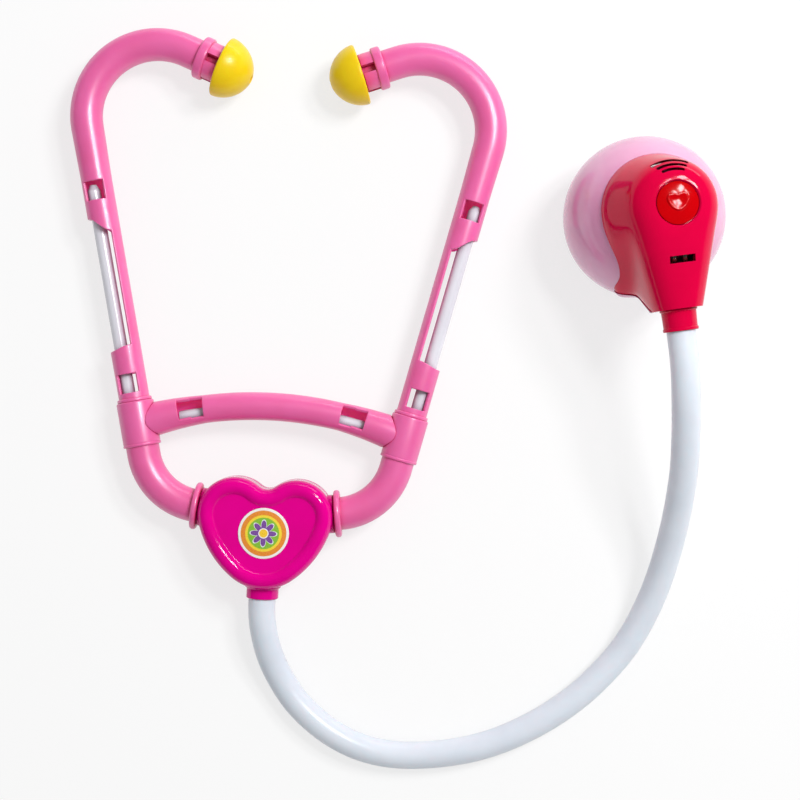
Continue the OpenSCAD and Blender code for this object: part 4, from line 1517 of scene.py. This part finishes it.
@dataclass
class Screws(SubAssembly):
    """Pan head screws with a cross recess and a cut thread."""

    head_steps: int = 40
    pitch: float = 0.9
    thread_depth: float = 0.28
    plain_below_head: float = 0.6
    point_length: float = 1.2
    recess: tuple[float, float, float] = (0.3, 0.085, 0.6)

    def outline(self, sizes: Sequence[float], length: float) -> list[tuple[float, float]]:
        """Returns half of a screw's section, from its head's top at zero.

        Args:
            sizes: Diameters of the shank and of the head, and height of the head.
            length: Whole length.

        Returns:
            Points of radius and height.
        """
        shank, edge, head_height = sizes[0] / 2, sizes[1] / 2, sizes[2]
        points = [(0.0, 0.0, 0.0), (edge, 0.12 * head_height, head_height * 0.45), (edge, head_height, 0.1)]
        at = head_height + self.plain_below_head
        points.append((shank, head_height, 0.0))
        while at < length - self.point_length - 0.4:
            points += [(shank, at, 0.0), (shank - self.thread_depth, at + self.pitch / 2, 0.0)]
            at += self.pitch
        points += [(shank - 0.1, length - self.point_length, 0.0), (0.3, length, 0.0), (0.0, length, 0.0)]
        return rounded(points, 3)

    def add(self, shape: Shape, place: Matrix, sizes: Sequence[float], length: float) -> None:
        """Adds one screw, driven along the local Z axis.

        Args:
            shape: Mesh to add to.
            place: Where the top of its head goes.
            sizes: Diameters of the shank and of the head, and height of the head.
            length: Whole length.
        """
        head, head_height = sizes[1], sizes[2]
        screw = bmesh.new()
        lathe(screw, self.outline(sizes, length), Matrix(), steps=self.head_steps)
        face_out(screw)
        arm, width, deep = head * self.recess[0], head * self.recess[1], head_height * self.recess[2]
        screw = combined(screw, block((-arm, -width, -1), (arm, width, deep)), Cut.TAKE_AWAY)
        screw = combined(screw, block((-width, -arm, -1), (width, arm, deep)), Cut.TAKE_AWAY)
        carry(screw, place)
        added(shape, screw)

    def group(
        self, name: str, node: str, places: Sequence[Matrix], sizes: Sequence[float], lengths: Sequence[float]
    ) -> None:
        """Builds a group of screws as one piece.

        Args:
            name: Name of the piece.
            node: Node that it stands for.
            places: Where each head's top goes.
            sizes: Diameters of the shank and of the head, and height of the head.
            lengths: Whole length of each screw.
        """
        shape = bmesh.new()
        for place, length in zip(places, lengths):
            self.add(shape, place, sizes, length)
        self.piece(name, shape, [node], "screw_steel", outward=False)


@dataclass
class Heart(SubAssembly):
    """Heart shaped hub: front and back shell, badge and screws."""

    front_height: float = 12.0
    back_height: float = PLANE_H
    recess: float = 1.6
    side_height: float = 7.2
    crest_inset: float = 3.7
    crest_radius: float = 3.7
    crest_steps: int = 8
    recess_ease: tuple[float, float, float, float] = (0.12, 0.16, 0.03, 0.5)
    badge_radius: float = 10.0
    badge_thickness: float = 0.3
    back_edge: float = 7.0
    rim_rounding: float = 0.22
    nozzle: Section = (
        (5.45, 17.8, 0), (7.4, 17.8, 0), (7.2, 22.2, 0.6),
        (6.4, 22.9, 0.6), (6.4, 26.8, 0.5), (5.45, 26.8, 0.2),
    )
    boss: Section = ((5.35, -5.0, 0), (7.7, -5.0, 0), (7.7, -0.15, 0.5), (5.35, -0.15, 0.2))
    screw_places: tuple[tuple[float, float], ...] = ((-12.2, 6.8), (12.2, 6.8), (0.0, -10.5))
    screw_sizes: tuple[float, float, float] = (2.6, 5.2, 2.0)
    screw_length: float = 16.7
    sink_radius: float = 2.9
    sink_depth: float = 4.0

    def rising(self, side: float, inset: float, rise: float) -> list[tuple[float, float]]:
        """Returns inset and height up a side and round the edge above it."""
        turns = [math.radians(9 * step) for step in range(11)]
        return [(inset * (1 - math.cos(turn)), side + rise * math.sin(turn)) for turn in turns]

    def front_profile(self) -> list[tuple[float, float]]:
        """Draws the skin of the front: side, round crest and recess.

        Returns:
            Inset and height of each step from the parting plane.
        """
        side, crest, inner = self.side_height, self.crest_inset, self.crest_radius
        profile = self.rising(side, crest, self.front_height - side)
        fall = math.sqrt(inner**2 - (inner - self.recess) ** 2)
        for step in range(1, self.crest_steps + 1):
            away = fall * step / self.crest_steps
            profile.append((crest + away, self.front_height - inner + math.sqrt(inner**2 - away**2)))
        floor = self.front_height - self.recess
        ease, rise, last_rise, run_out = self.recess_ease
        profile[-1] = (profile[-1][0] - ease, floor + rise)
        profile += [(crest + fall + ease, floor + last_rise), (crest + fall + run_out, floor)]
        return profile

    def back_profile(self) -> list[tuple[float, float]]:
        """Returns inset and depth from the parting plane of the plain back."""
        return self.rising(self.back_height - self.back_edge, self.back_edge, self.back_edge)

    def shell(self, profile: Sequence[tuple[float, float]]) -> Shape:
        """Builds one half above the parting plane at zero.

        Args:
            profile: Inset and height of its outer skin.

        Returns:
            The mesh, closed.
        """
        shape = bmesh.new()
        start, arcs = heart_arcs()
        face = arc_chain(shape, start, arcs)
        raise_face(shape, face, profile)
        close_holes(shape)
        rim = [edge for edge in shape.edges if all(abs(vert.co.z) < 1e-5 for vert in edge.verts)]
        bmesh.ops.bevel(
            shape,
            geom=rim,
            offset=self.rim_rounding,
            offset_type="OFFSET",
            segments=2,
            profile=0.5,
            affect="EDGES",
            material=-1,
        )
        return shape

    def fittings(self) -> Shape:
        """Builds half of the nozzle and of the two bosses, above the parting plane.

        Returns:
            The mesh.
        """
        shape = bmesh.new()
        lathe(shape, rounded(self.nozzle), turned(90, "X"), steps=48, degrees=180.0)
        tilt = math.radians(BOSS_TILT)
        place = facing((*BOSS_AT, 0), (math.cos(tilt), math.sin(tilt), 0))
        for side in Side:
            lathe(shape, rounded(self.boss), side_matrix(side) @ place, steps=48, degrees=180.0)
        return shape

    def build(self, screws: Screws) -> None:
        """Builds the heart.

        Args:
            screws: Maker of the screws.
        """
        front = self.shell(self.front_profile())
        added(front, self.fittings())
        bmesh.ops.translate(front, vec=(0, 0, PLANE_H), verts=front.verts)
        self.piece("heart_front_shell", front, ["heart_front"], "heart_magenta", sharp=60.0)
        back = self.shell(self.back_profile())
        for x, y in self.screw_places:
            sink = rod(self.sink_radius, self.back_height - self.sink_depth, self.back_height + 1, x, y)
            back = combined(back, sink, Cut.TAKE_AWAY)
        added(back, self.fittings())
        downwards = moved(0, 0, PLANE_H) @ Matrix.Diagonal((1, 1, -1, 1))
        carry(back, downwards)
        self.piece("heart_back_shell", back, ["heart_back"], "heart_magenta", sharp=60.0)
        floor = PLANE_H + self.front_height - self.recess
        radius, edge = self.badge_radius, self.badge_thickness
        badge = bmesh.new()
        disc = rounded([(0, -0.05, 0), (radius, -0.05, 0), (radius, edge, 0.15), (0, edge, 0)])
        lathe(badge, disc, moved(0, 0, floor), steps=128)
        self.piece("heart_badge_print", badge, ["heart_badge"], "badge_paper")
        places = [moved(x, y, self.sink_depth - self.screw_sizes[2]) for x, y in self.screw_places]
        lengths = [self.screw_length] * len(places)
        screws.group("heart_screw_set", "heart_screws", places, self.screw_sizes, lengths)


@dataclass
class ChestPiece(SubAssembly):
    """Ball shaped chest piece with its pear shaped back cover."""

    at: tuple[float, float] = (142.0, 132.0)
    lean: float = 6.0
    turn: float = 10.7
    ball_radius: float = 31.5
    wall_thickness: float = 2.0
    voxel: float = 0.8
    soft_passes: int = 55
    throat_reach: float = 4.0
    inner_voxel: float = 1.0
    inner_passes: int = 4
    top_hole: float = 11.0
    rim_height: float = 18.5
    skin_steps: tuple[int, int] = (56, 24)
    face_drop: float = 21.5
    cover_top: float = 46.2
    cover_radius: float = 21.0
    neck_length: float = 37.8
    neck_height: float = 30.0
    neck_radius: float = 8.0
    keel: tuple[float, float, float] = (0.0, -12.0, 0.0)
    keel_radius: float = 13.8
    foot: tuple[float, float, float] = (13.2, -26.8, 4.5)
    foot_radius: float = 3.8
    crown_shift: float = -0.8
    crown_swell: float = 0.7
    crown_ring: tuple[float, float] = (20.5, 7.0)
    round_shoulder: tuple[float, float] = (17.2, 12.0)
    crest_foot: float = 10.0
    strip_thickness: float = 1.6
    swell: float = 0.3
    strip_swell: float = 0.6
    neck_straight: float = 8.0
    nozzle_length: float = 8.2
    part_gap: float = 0.12
    hole_gap: float = 0.14
    hole_from: float = 30.0
    lip: float = 0.9
    lip_drop: float = 0.45
    clear_height: float = 60.0
    button_radius: float = 7.9
    button_flange: float = 42.5
    flange_out: float = 1.3
    flange_thickness: float = 1.4
    button_floor: float = 3.0
    button_proud: float = 0.8
    plunger_radius: float = 1.8
    plunger_end: float = 37.5
    figure_scale: float = 0.155
    figure_profile: tuple[tuple[float, float], ...] = (
        (0.0, 1.0), (0.15, 1.16), (0.45, 1.25), (0.9, 1.2), (1.3, 1.05),
    )
    figure_shift: float = 0.5
    figure_sunk: float = 1.0
    slot_at: float = -20.1
    slot_size: tuple[float, float] = (9.6, 2.6)
    leaf_apart: float = 2.0
    leaf_height: float = 39.6
    leaf_half: float = 0.7
    leaf_start: tuple[float, float] = (-2.4, -0.5)
    leaf_folds: tuple[tuple[float, float], ...] = (
        (1.0, 0.2), (0.8, 0.3), (1.2, 0.0), (0.9, -0.35), (0.9, -0.1),
    )
    leaf_thickness: float = 0.3
    leaf_shift: float = 0.6
    roof_slope: float = 17.5
    coil_radius: float = 5.0
    coil_wire: float = 0.7
    coil_turns: float = 4.5
    coil_turn_steps: int = 24
    coil_slope: float = 0.09
    coil_span: tuple[float, float] = (31.32, 45.1)
    button_travel: float = 1.2
    face_sunk: float = 0.05
    base_screw_circle: float = 20.0
    base_screw_turns: tuple[float, ...] = (30, 150, 270)
    base_screw_sizes: tuple[float, float, float] = (2.6, 4.9, 1.45)
    base_screw_length: float = 8.95
    door_screw_at: float = 15.7
    door_screw_sizes: tuple[float, float, float] = (2.6, 4.9, 0.75)
    door_screw_length: float = 5.0
    cover_screw_spots: tuple[tuple[float, float], ...] = ((-14.0, 7.0), (14.0, 7.0), (0.0, -25.0))
    cover_screw_sizes: tuple[float, float, float] = (2.6, 5.2, 2.0)
    cover_boss_radius: float = 3.2
    cover_screw_short: float = 0.3
    grille: tuple[tuple[float, float], ...] = ((12.4, 20.0), (14.2, 23.0), (16.0, 26.0))
    grille_half: float = 0.5
    grille_span: tuple[float, float] = (36.0, 56.0)

    def place(self) -> Matrix:
        """Works out the frame of the chest piece.

        Returns:
            The frame: the ball's middle at zero, +Z to the button.
        """
        face_radius = math.sqrt(self.ball_radius**2 - self.face_drop**2)
        lean = math.radians(self.lean)
        height = self.face_drop * math.cos(lean) + face_radius * math.sin(lean)
        return moved(*self.at, height) @ turned(self.lean, "Y") @ turned(self.turn, "Z")

    def crest(self, inset: float) -> Shape:
        """Builds the raised dome that carries the button, with its rounded shoulder.

        Args:
            inset: How far it is drawn in.

        Returns:
            The closed mesh.
        """
        shape = bmesh.new()
        top = self.cover_top - inset
        wide, edge = (part - inset for part in self.round_shoulder)
        foot = self.crest_foot
        corners = [(0, foot, 0), (wide, foot, 0), (wide, top, edge), (0, top, 0)]
        lathe(shape, rounded(corners, steps=12), Matrix())
        return shape

    def pear(self, inset: float, voxel: float, passes: int, reach: float = 0.0) -> Shape:
        """Builds the pear shape of the cover: crown with two feet, and throat, with softened creases.

        Args:
            inset: How far it is drawn in.
            voxel: Size of its faces.
            passes: Smoothing passes.
            reach: How much longer the throat is.

        Returns:
            The closed mesh.
        """
        crown, throat = self.crest(inset), self.crest(inset)
        radius = self.cover_radius + self.crown_swell - inset
        ring_height, ring_depth = self.crown_ring
        ring = moved(self.crown_shift, 0, ring_height + inset / 2)
        self.tube(crown, radius, ring_depth - inset, 128, ring)
        for side in Side:
            foot = moved(side.value * self.foot[0], self.foot[1], self.foot[2])
            self.bead(crown, self.foot_radius - inset, 48, foot)
        start = moved(0, inset - self.neck_length - reach, self.neck_height) @ ALONG_Y
        depth = self.neck_straight + reach
        self.tube(throat, self.neck_radius - inset, depth, 96, start @ moved(0, 0, depth / 2))
        self.bead(throat, self.keel_radius - inset, 96, moved(*self.keel))
        forms = hulled(crown)
        added(forms, hulled(throat))
        result = evaluated(forms, "REMESH", mode="VOXEL", voxel_size=voxel, use_smooth_shade=True)
        axes = {f"use_axis_{axis}": True for axis in "xyz"}
        for _ in range(passes):
            bmesh.ops.smooth_vert(result, verts=result.verts, factor=0.5, **axes)
        return result

    def tube(self, shape: Shape, radius: float, depth: float, segments: int, place: Matrix) -> None:
        """Adds an open round tube, a form of the hulls."""
        sizes = {"radius1": radius, "radius2": radius, "depth": depth}
        bmesh.ops.create_cone(shape, cap_ends=False, segments=segments, matrix=place, **sizes)

    def bead(self, shape: Shape, radius: float, segments: int, place: Matrix) -> None:
        """Adds a small ball, a form of the hulls."""
        halves = segments // 2
        bmesh.ops.create_uvsphere(shape, u_segments=segments, v_segments=halves, radius=radius, matrix=place)

    def outer_pear(self, swell: float) -> Shape:
        """Returns the pear, swollen by a little and cut off square at its neck."""
        shape = self.pear(-swell, self.voxel, self.soft_passes, self.throat_reach)
        return combined(shape, block((-20, -60, -60), (20, -self.neck_length, 90)), Cut.TAKE_AWAY)

    def inner_pear(self) -> Shape:
        """Returns the pear that hollows the cover and the strip."""
        return self.pear(self.wall_thickness, self.inner_voxel, self.inner_passes)

    def below_strip(self, lift: float) -> Shape:
        """Returns the space below the slanted plane that parts the pink strip from the cover.

        Args:
            lift: How much further up the plane lies.

        Returns:
            A large block.
        """
        reach = Vector((self.neck_length + self.keel[1], self.neck_height - self.neck_radius - self.keel[2]))
        slope = math.degrees(math.atan2(reach.y, reach.x) + math.asin(self.keel_radius / reach.length))
        base = moved(0, -self.neck_length, self.neck_height - self.neck_radius) @ turned(180 - slope, "X")
        return block((-90, -90, -self.strip_thickness - lift), (90, 90, 120), base)

    def ball_skin(self, radius: float, steps: int) -> list[tuple[float, float]]:
        """Draws half of a skin of the ball, from its top hole to its rim.

        Args:
            radius: Radius of the skin.
            steps: Steps from the hole to the rim.

        Returns:
            Points of radius and height.
        """
        rim_turn = 90 + math.degrees(math.asin(self.rim_height / radius))
        start = math.degrees(math.asin(self.top_hole / radius))
        turns = [math.radians(start + (rim_turn - start) * step / steps) for step in range(steps + 1)]
        return [(radius * math.sin(turn), radius * math.cos(turn)) for turn in turns]

    def build_ball(self) -> None:
        """Builds the pink ball with the strip that closes the neck from below."""
        shape = bmesh.new()
        outer, inner = self.ball_radius, self.ball_radius - self.wall_thickness
        outline = self.ball_skin(outer, self.skin_steps[0]) + self.ball_skin(inner, self.skin_steps[1])[::-1]
        lathe(shape, outline, Matrix(), steps=144)
        strip = combined(self.outer_pear(self.strip_swell), self.below_strip(0.0), Cut.KEEP_SHARED)
        strip = combined(strip, ball(self.ball_radius - 0.9), Cut.TAKE_AWAY)
        strip = combined(strip, self.inner_pear(), Cut.TAKE_AWAY)
        face_out(shape)
        added(shape, strip)
        carry(shape, self.place())
        self.piece("ball_shell", shape, ["bell_shell"], "ball_pink", outward=False)

    def build_cover(self) -> None:
        """Builds the red back cover with its openings and nozzle."""
        shape = combined(self.outer_pear(self.swell), self.inner_pear(), Cut.TAKE_AWAY)
        shape = combined(shape, ball(self.ball_radius + self.part_gap), Cut.TAKE_AWAY)
        shape = combined(shape, self.below_strip(self.part_gap), Cut.TAKE_AWAY)
        hole, flare = self.button_radius + self.hole_gap, self.cover_top - self.lip_drop
        lip, foot, top = hole + self.lip, self.hole_from, self.clear_height
        mouth = bmesh.new()
        half = [(0, foot), (hole, foot), (hole, flare), (lip, flare + self.lip), (lip, top), (0, top)]
        lathe(mouth, half, Matrix())
        shape = combined(shape, mouth, Cut.TAKE_AWAY)
        wide, high = self.slot_size[0] / 2, self.slot_size[1] / 2
        slot = block((-wide, self.slot_at - high, self.neck_height + 2), (wide, self.slot_at + high, top))
        shape = combined(shape, slot, Cut.TAKE_AWAY)
        louvres = bmesh.new()
        low, high = self.grille_span
        for radius, sweep_half in self.grille:
            near, far = radius - self.grille_half, radius + self.grille_half
            bar = [(near, low), (far, low), (far, high), (near, high)]
            lathe(louvres, bar, turned(90 - sweep_half, "Z"), steps=24, degrees=2 * sweep_half)
        shape = combined(shape, louvres, Cut.TAKE_AWAY)
        bmesh.ops.dissolve_degenerate(shape, dist=0.02, edges=shape.edges)
        end = self.neck_length + self.nozzle_length
        start = self.neck_length - self.wall_thickness
        nozzle = [
            (5.45, start, 0),
            (7.0, start, 0),
            (7.0, self.neck_length + 0.6, 0.3),
            (6.55, self.neck_length + 0.9, 0.2),
            (6.35, end - 1.4, 0.2),
            (6.65, end - 1.1, 0.3),
            (6.65, end, 0.4),
            (5.45, end, 0.2),
        ]
        spout = bmesh.new()
        lathe(spout, rounded(nozzle), moved(0, 0, self.neck_height) @ turned(90, "X"))
        face_out(spout)
        added(shape, spout)
        carry(shape, self.place())
        piece = self.piece("back_cover_shell", shape, ["back_cover"], "cover_red", outward=False)
        weighted = piece.modifiers.new("normals", "WEIGHTED_NORMAL")
        weighted.keep_sharp = True

    def build_button(self) -> None:
        """Builds the push button: a low dome with a raised heart, a flange and a plunger."""
        top, dome = self.cover_top + self.button_proud, 4 * self.button_radius
        radius, flange, plunger = self.button_radius + 0.04, self.button_flange, self.plunger_radius
        out, shoulder, floor = self.flange_out, flange + self.flange_thickness, flange + self.button_floor
        points: list[tuple[float, float, float]] = []
        for step in range(9):
            away = (radius - 0.01) * step / 8
            height = top - dome + math.sqrt(dome**2 - away**2)
            points.append((away, height, 0.5 if step == 8 else 0.0))
        points += [
            (radius, shoulder, 0),
            (radius + out, shoulder, 0.2),
            (radius + out, flange, 0.2),
            (radius - out, flange, 0),
            (radius - out, floor, 0),
            (plunger, floor, 0),
            (plunger, self.plunger_end, 0.3),
            (0, self.plunger_end, 0),
        ]
        shape = bmesh.new()
        lathe(shape, rounded(points), Matrix())
        raised = bmesh.new()
        start, arcs = heart_arcs(self.figure_scale)
        coarse = [(x, y, turn, max(3, steps // 2)) for x, y, turn, steps in arcs]
        face = arc_chain(raised, start, coarse)
        raise_face(raised, face, self.figure_profile)
        close_holes(raised)
        bmesh.ops.translate(raised, vec=(0, self.figure_shift, top - self.figure_sunk), verts=raised.verts)
        face_out(raised)
        added(shape, raised)
        carry(shape, self.place())
        maker = SubAssembly(self.palette, "button")
        maker.piece("sound_button_cap", shape, ["sound_button"], "button_red")

    def build_coil(self) -> None:
        """Builds the button's coil spring, at its resting length."""
        wire = self.coil_wire / 2
        foot, head = self.coil_span
        steps = int(self.coil_turns * self.coil_turn_steps)
        rise = (head - foot - self.coil_wire) / steps
        stations = []
        for step in range(steps + 1):
            turn = 2 * math.pi * step / self.coil_turn_steps
            out, along = math.cos(turn), math.sin(turn)
            spot = (self.coil_radius * out, self.coil_radius * along, foot + wire + rise * step)
            stations.append((facing(spot, (-along, out, self.coil_slope)), wire))
        shape = bmesh.new()
        sweep(shape, stations, sides=10)
        frame = self.place()
        carry(shape, frame)
        piece = self.piece("button_coil", shape, ["button_spring"], "spring_steel", sharp=60.0)
        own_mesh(piece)

    def build_leaves(self) -> None:
        """Builds the two bent metal leaves behind the slot of the neck."""
        shape = bmesh.new()
        for side in Side:
            strip = bmesh.new()
            middle = side.value * self.leaf_apart
            ends = (middle - self.leaf_half, middle + self.leaf_half)
            edges = [strip.edges.new([strip.verts.new((end, *self.leaf_start)) for end in ends])]
            for along, up in self.leaf_folds:
                geometry = bmesh.ops.extrude_edge_only(strip, edges=edges)["geom"]
                bmesh.ops.translate(strip, vec=(0, along, up), verts=only_verts(geometry))
                edges = only_edges(geometry)
            bmesh.ops.solidify(strip, geom=strip.faces[:], thickness=self.leaf_thickness)
            face_out(strip)
            added(shape, strip)
        roof = moved(0, self.slot_at + self.leaf_shift, self.leaf_height) @ turned(self.roof_slope, "X")
        carry(shape, self.place() @ roof)
        self.piece("slot_leaves", shape, ["tab_contacts"], "contact_nickel", outward=False)

    def build(self, screws: Screws) -> None:
        """Builds the chest piece.

        Args:
            screws: Maker of the screws.
        """
        self.build_ball()
        self.build_cover()
        self.build_button()
        self.build_coil()
        self.build_leaves()
        frame = self.place()
        out = moved(self.base_screw_circle, 0, self.face_sunk - self.face_drop)
        base = [frame @ turned(angle, "Z") @ out for angle in self.base_screw_turns]
        lengths = [self.base_screw_length] * len(base)
        screws.group("base_screw_set", "base_screws", base, self.base_screw_sizes, lengths)
        door = [frame @ moved(0, self.door_screw_at, self.face_sunk - self.face_drop)]
        lengths = [self.door_screw_length]
        screws.group("door_screw_head", "door_screw", door, self.door_screw_sizes, lengths)
        inner = self.ball_radius - self.wall_thickness
        cover, lengths = [], []
        for x, y in self.cover_screw_spots:
            away = math.hypot(x, y) + self.cover_boss_radius
            low = math.sqrt(inner**2 - away**2) - self.cover_screw_sizes[2]
            cover.append(frame @ moved(x, y, low))
            lengths.append(self.neck_height - low - self.cover_screw_short)
        screws.group("cover_screw_set", "cover_screws", cover, self.cover_screw_sizes, lengths)


# Studio


@dataclass
class Studio:
    """Camera, lamps, world and the white table."""

    camera_at: tuple[float, float, float] = (0.0506, 0.0553, 0.600)
    camera_turn: float = 3.2
    lens: float = 66.15
    sensor_width: float = 36.0
    sight_end: float = 20.0
    table_half: float = 3.0
    table_drop: float = 0.0003
    table_white: float = 0.92
    table_glow: float = 0.72
    ambient: float = 0.43
    ceiling: float = 0.05
    fall: tuple[float, float] = (-3.6, 1.08)
    bright_x: tuple[float, float] = (0.55, 0.5)
    bright_y: tuple[float, float] = (0.45, -0.1)
    aim: tuple[float, float, float] = (0.06, 0.05, 0.0)
    panes: tuple[tuple[float, float], ...] = ((36, 50), (48, 50), (35, 61), (50, 61))
    pane_away: float = 1.0
    pane_size: tuple[float, float] = (0.10, 0.13)
    pane_power: float = 1.8
    far_window: tuple[float, float, float] = (68, 8, 1.5)
    far_size: tuple[float, float] = (1.3, 0.2)
    far_power: float = 4.2

    def build_camera(self) -> None:
        """Sets the camera straight above the table, as in the photograph."""
        data = bpy.data.cameras.new("photo_camera")
        data.sensor_width = self.sensor_width
        data.lens = self.lens
        data.clip_end = self.sight_end
        camera = placed("photo_camera", data)
        camera.location = self.camera_at
        camera.rotation_euler = (0, 0, math.radians(self.camera_turn))
        bpy.context.scene.camera = camera

    def build_table(self) -> None:
        """Lays the white table that keeps the object's shadow."""
        shape = bmesh.new()
        place = moved(0, 0, -self.table_drop)
        bmesh.ops.create_grid(shape, x_segments=1, y_segments=1, size=self.table_half, matrix=place)
        mesh = as_mesh("table", shape)
        table = placed("table", mesh)
        graph = Graph("table_white")
        white = (self.table_white,) * 3 + (1.0,)
        graph.dress({"Base Color": white, "Roughness": 0.9, "Specular IOR Level": 0.1})
        glow = graph.add("Emission", {"Color": (1.0, 1.0, 1.0, 1.0), "Strength": 1.0})
        path = graph.add("LightPath")
        seen = graph.sums("MAXIMUM", path.outputs["Is Camera Ray"], path.outputs["Is Glossy Ray"])
        seen = graph.sums("MAXIMUM", seen, path.outputs["Is Transmission Ray"])
        amount = graph.sums("MULTIPLY", seen, self.table_glow)
        mix = graph.add("MixShader", {0: amount, 1: graph.shader.outputs[0], 2: glow.outputs[0]})
        output = next(node for node in graph.tree.nodes if node.type == "OUTPUT_MATERIAL")
        graph.tree.links.new(mix.outputs[0], output.inputs["Surface"])
        mesh.materials.append(graph.material)

    def build_world(self) -> None:
        """Lights the world evenly; it shows as plain white."""
        world = bpy.data.worlds.new("studio")
        world.use_nodes = True
        bpy.context.scene.world = world
        nodes, links = world.node_tree.nodes, world.node_tree.links
        nodes.clear()

        def step(operation: str, *values: object) -> Socket:
            """Adds one arithmetic step, held between zero and one.

            Args:
                operation: What the step does.
                values: Plain values or sockets.

            Returns:
                Its result.
            """
            node = nodes.new("ShaderNodeMath")
            node.operation = operation
            node.use_clamp = True
            for socket, value in zip(node.inputs, values):
                if isinstance(value, Socket):
                    links.new(value, socket)
                else:
                    socket.default_value = value
            return node.outputs[0]

        path = nodes.new("ShaderNodeLightPath").outputs
        toward = nodes.new("ShaderNodeSeparateXYZ")
        links.new(nodes.new("ShaderNodeTexCoord").outputs["Generated"], toward.inputs[0])
        x, y, z = toward.outputs[:3]
        low = step("MULTIPLY_ADD", z, *self.fall)
        across, along = step("MULTIPLY_ADD", x, *self.bright_x), step("MULTIPLY_ADD", y, *self.bright_y)
        backdrop = step("MULTIPLY", low, step("ADD", across, along))
        mirrored = step("MAXIMUM", backdrop, self.ceiling)
        glossy = path["Is Glossy Ray"]
        plain = step("MULTIPLY", step("SUBTRACT", 1.0, glossy), self.ambient)
        lit = step("ADD", step("MULTIPLY", glossy, mirrored), plain)
        strength = step("MAXIMUM", lit, step("MAXIMUM", path["Is Camera Ray"], path["Is Transmission Ray"]))
        background = nodes.new("ShaderNodeBackground")
        background.inputs["Color"].default_value = (1.0, 1.0, 1.0, 1.0)
        links.new(strength, background.inputs["Strength"])
        output = nodes.new("ShaderNodeOutputWorld")
        links.new(background.outputs[0], output.inputs["Surface"])

    def lamp(
        self, name: str, toward: tuple[float, float, float], size: tuple[float, float], power: float
    ) -> None:
        """Hangs a rectangular lamp that points at the toy.

        Args:
            name: Name of the lamp.
            toward: Degrees round the table and above it, and distance in metres.
            size: Width and height in metres.
            power: Power in watts.
        """
        around, above, away = math.radians(toward[0]), math.radians(toward[1]), toward[2]
        flat = away * math.cos(above)
        reach = Vector((flat * math.cos(around), flat * math.sin(around), away * math.sin(above)))
        data = bpy.data.lights.new(name, "AREA")
        data.shape = "RECTANGLE"
        data.size, data.size_y = size
        data.energy = power
        lamp = placed(name, data)
        lamp.location = Vector(self.aim) + reach
        lamp.rotation_euler = (-reach).to_track_quat("-Z", "Y").to_euler()

    def build(self) -> None:
        """Builds the studio."""
        self.build_table()
        self.build_world()
        for number, (around, above) in enumerate(self.panes, 1):
            toward = (around, above, self.pane_away)
            self.lamp(f"window_pane_{number}", toward, self.pane_size, self.pane_power)
        self.lamp("far_window", self.far_window, self.far_size, self.far_power)
        bpy.context.scene.view_settings.view_transform = "Standard"


def main() -> None:
    """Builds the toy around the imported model."""
    logging.basicConfig(level=logging.INFO, format="%(name)s: %(message)s")
    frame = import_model()
    studio = Studio()
    studio.build_camera()
    badge_floor_m = (PLANE_H + Heart.front_height - Heart.recess) * METRES_PER_MM
    palette = Palette((0.0, 0.0, badge_floor_m), Heart.badge_radius * METRES_PER_MM)
    palette.build()
    palette.dress_nodes(frame["nodes"], frame["record"])
    Hose(palette).build()
    headset = Headset(palette)
    headset.build()
    EarTips(palette, headset).build()
    screws = Screws(palette)
    Heart(palette).build(screws)
    ChestPiece(palette).build(screws)
    studio.build()


if __name__ == "__main__":
    main()
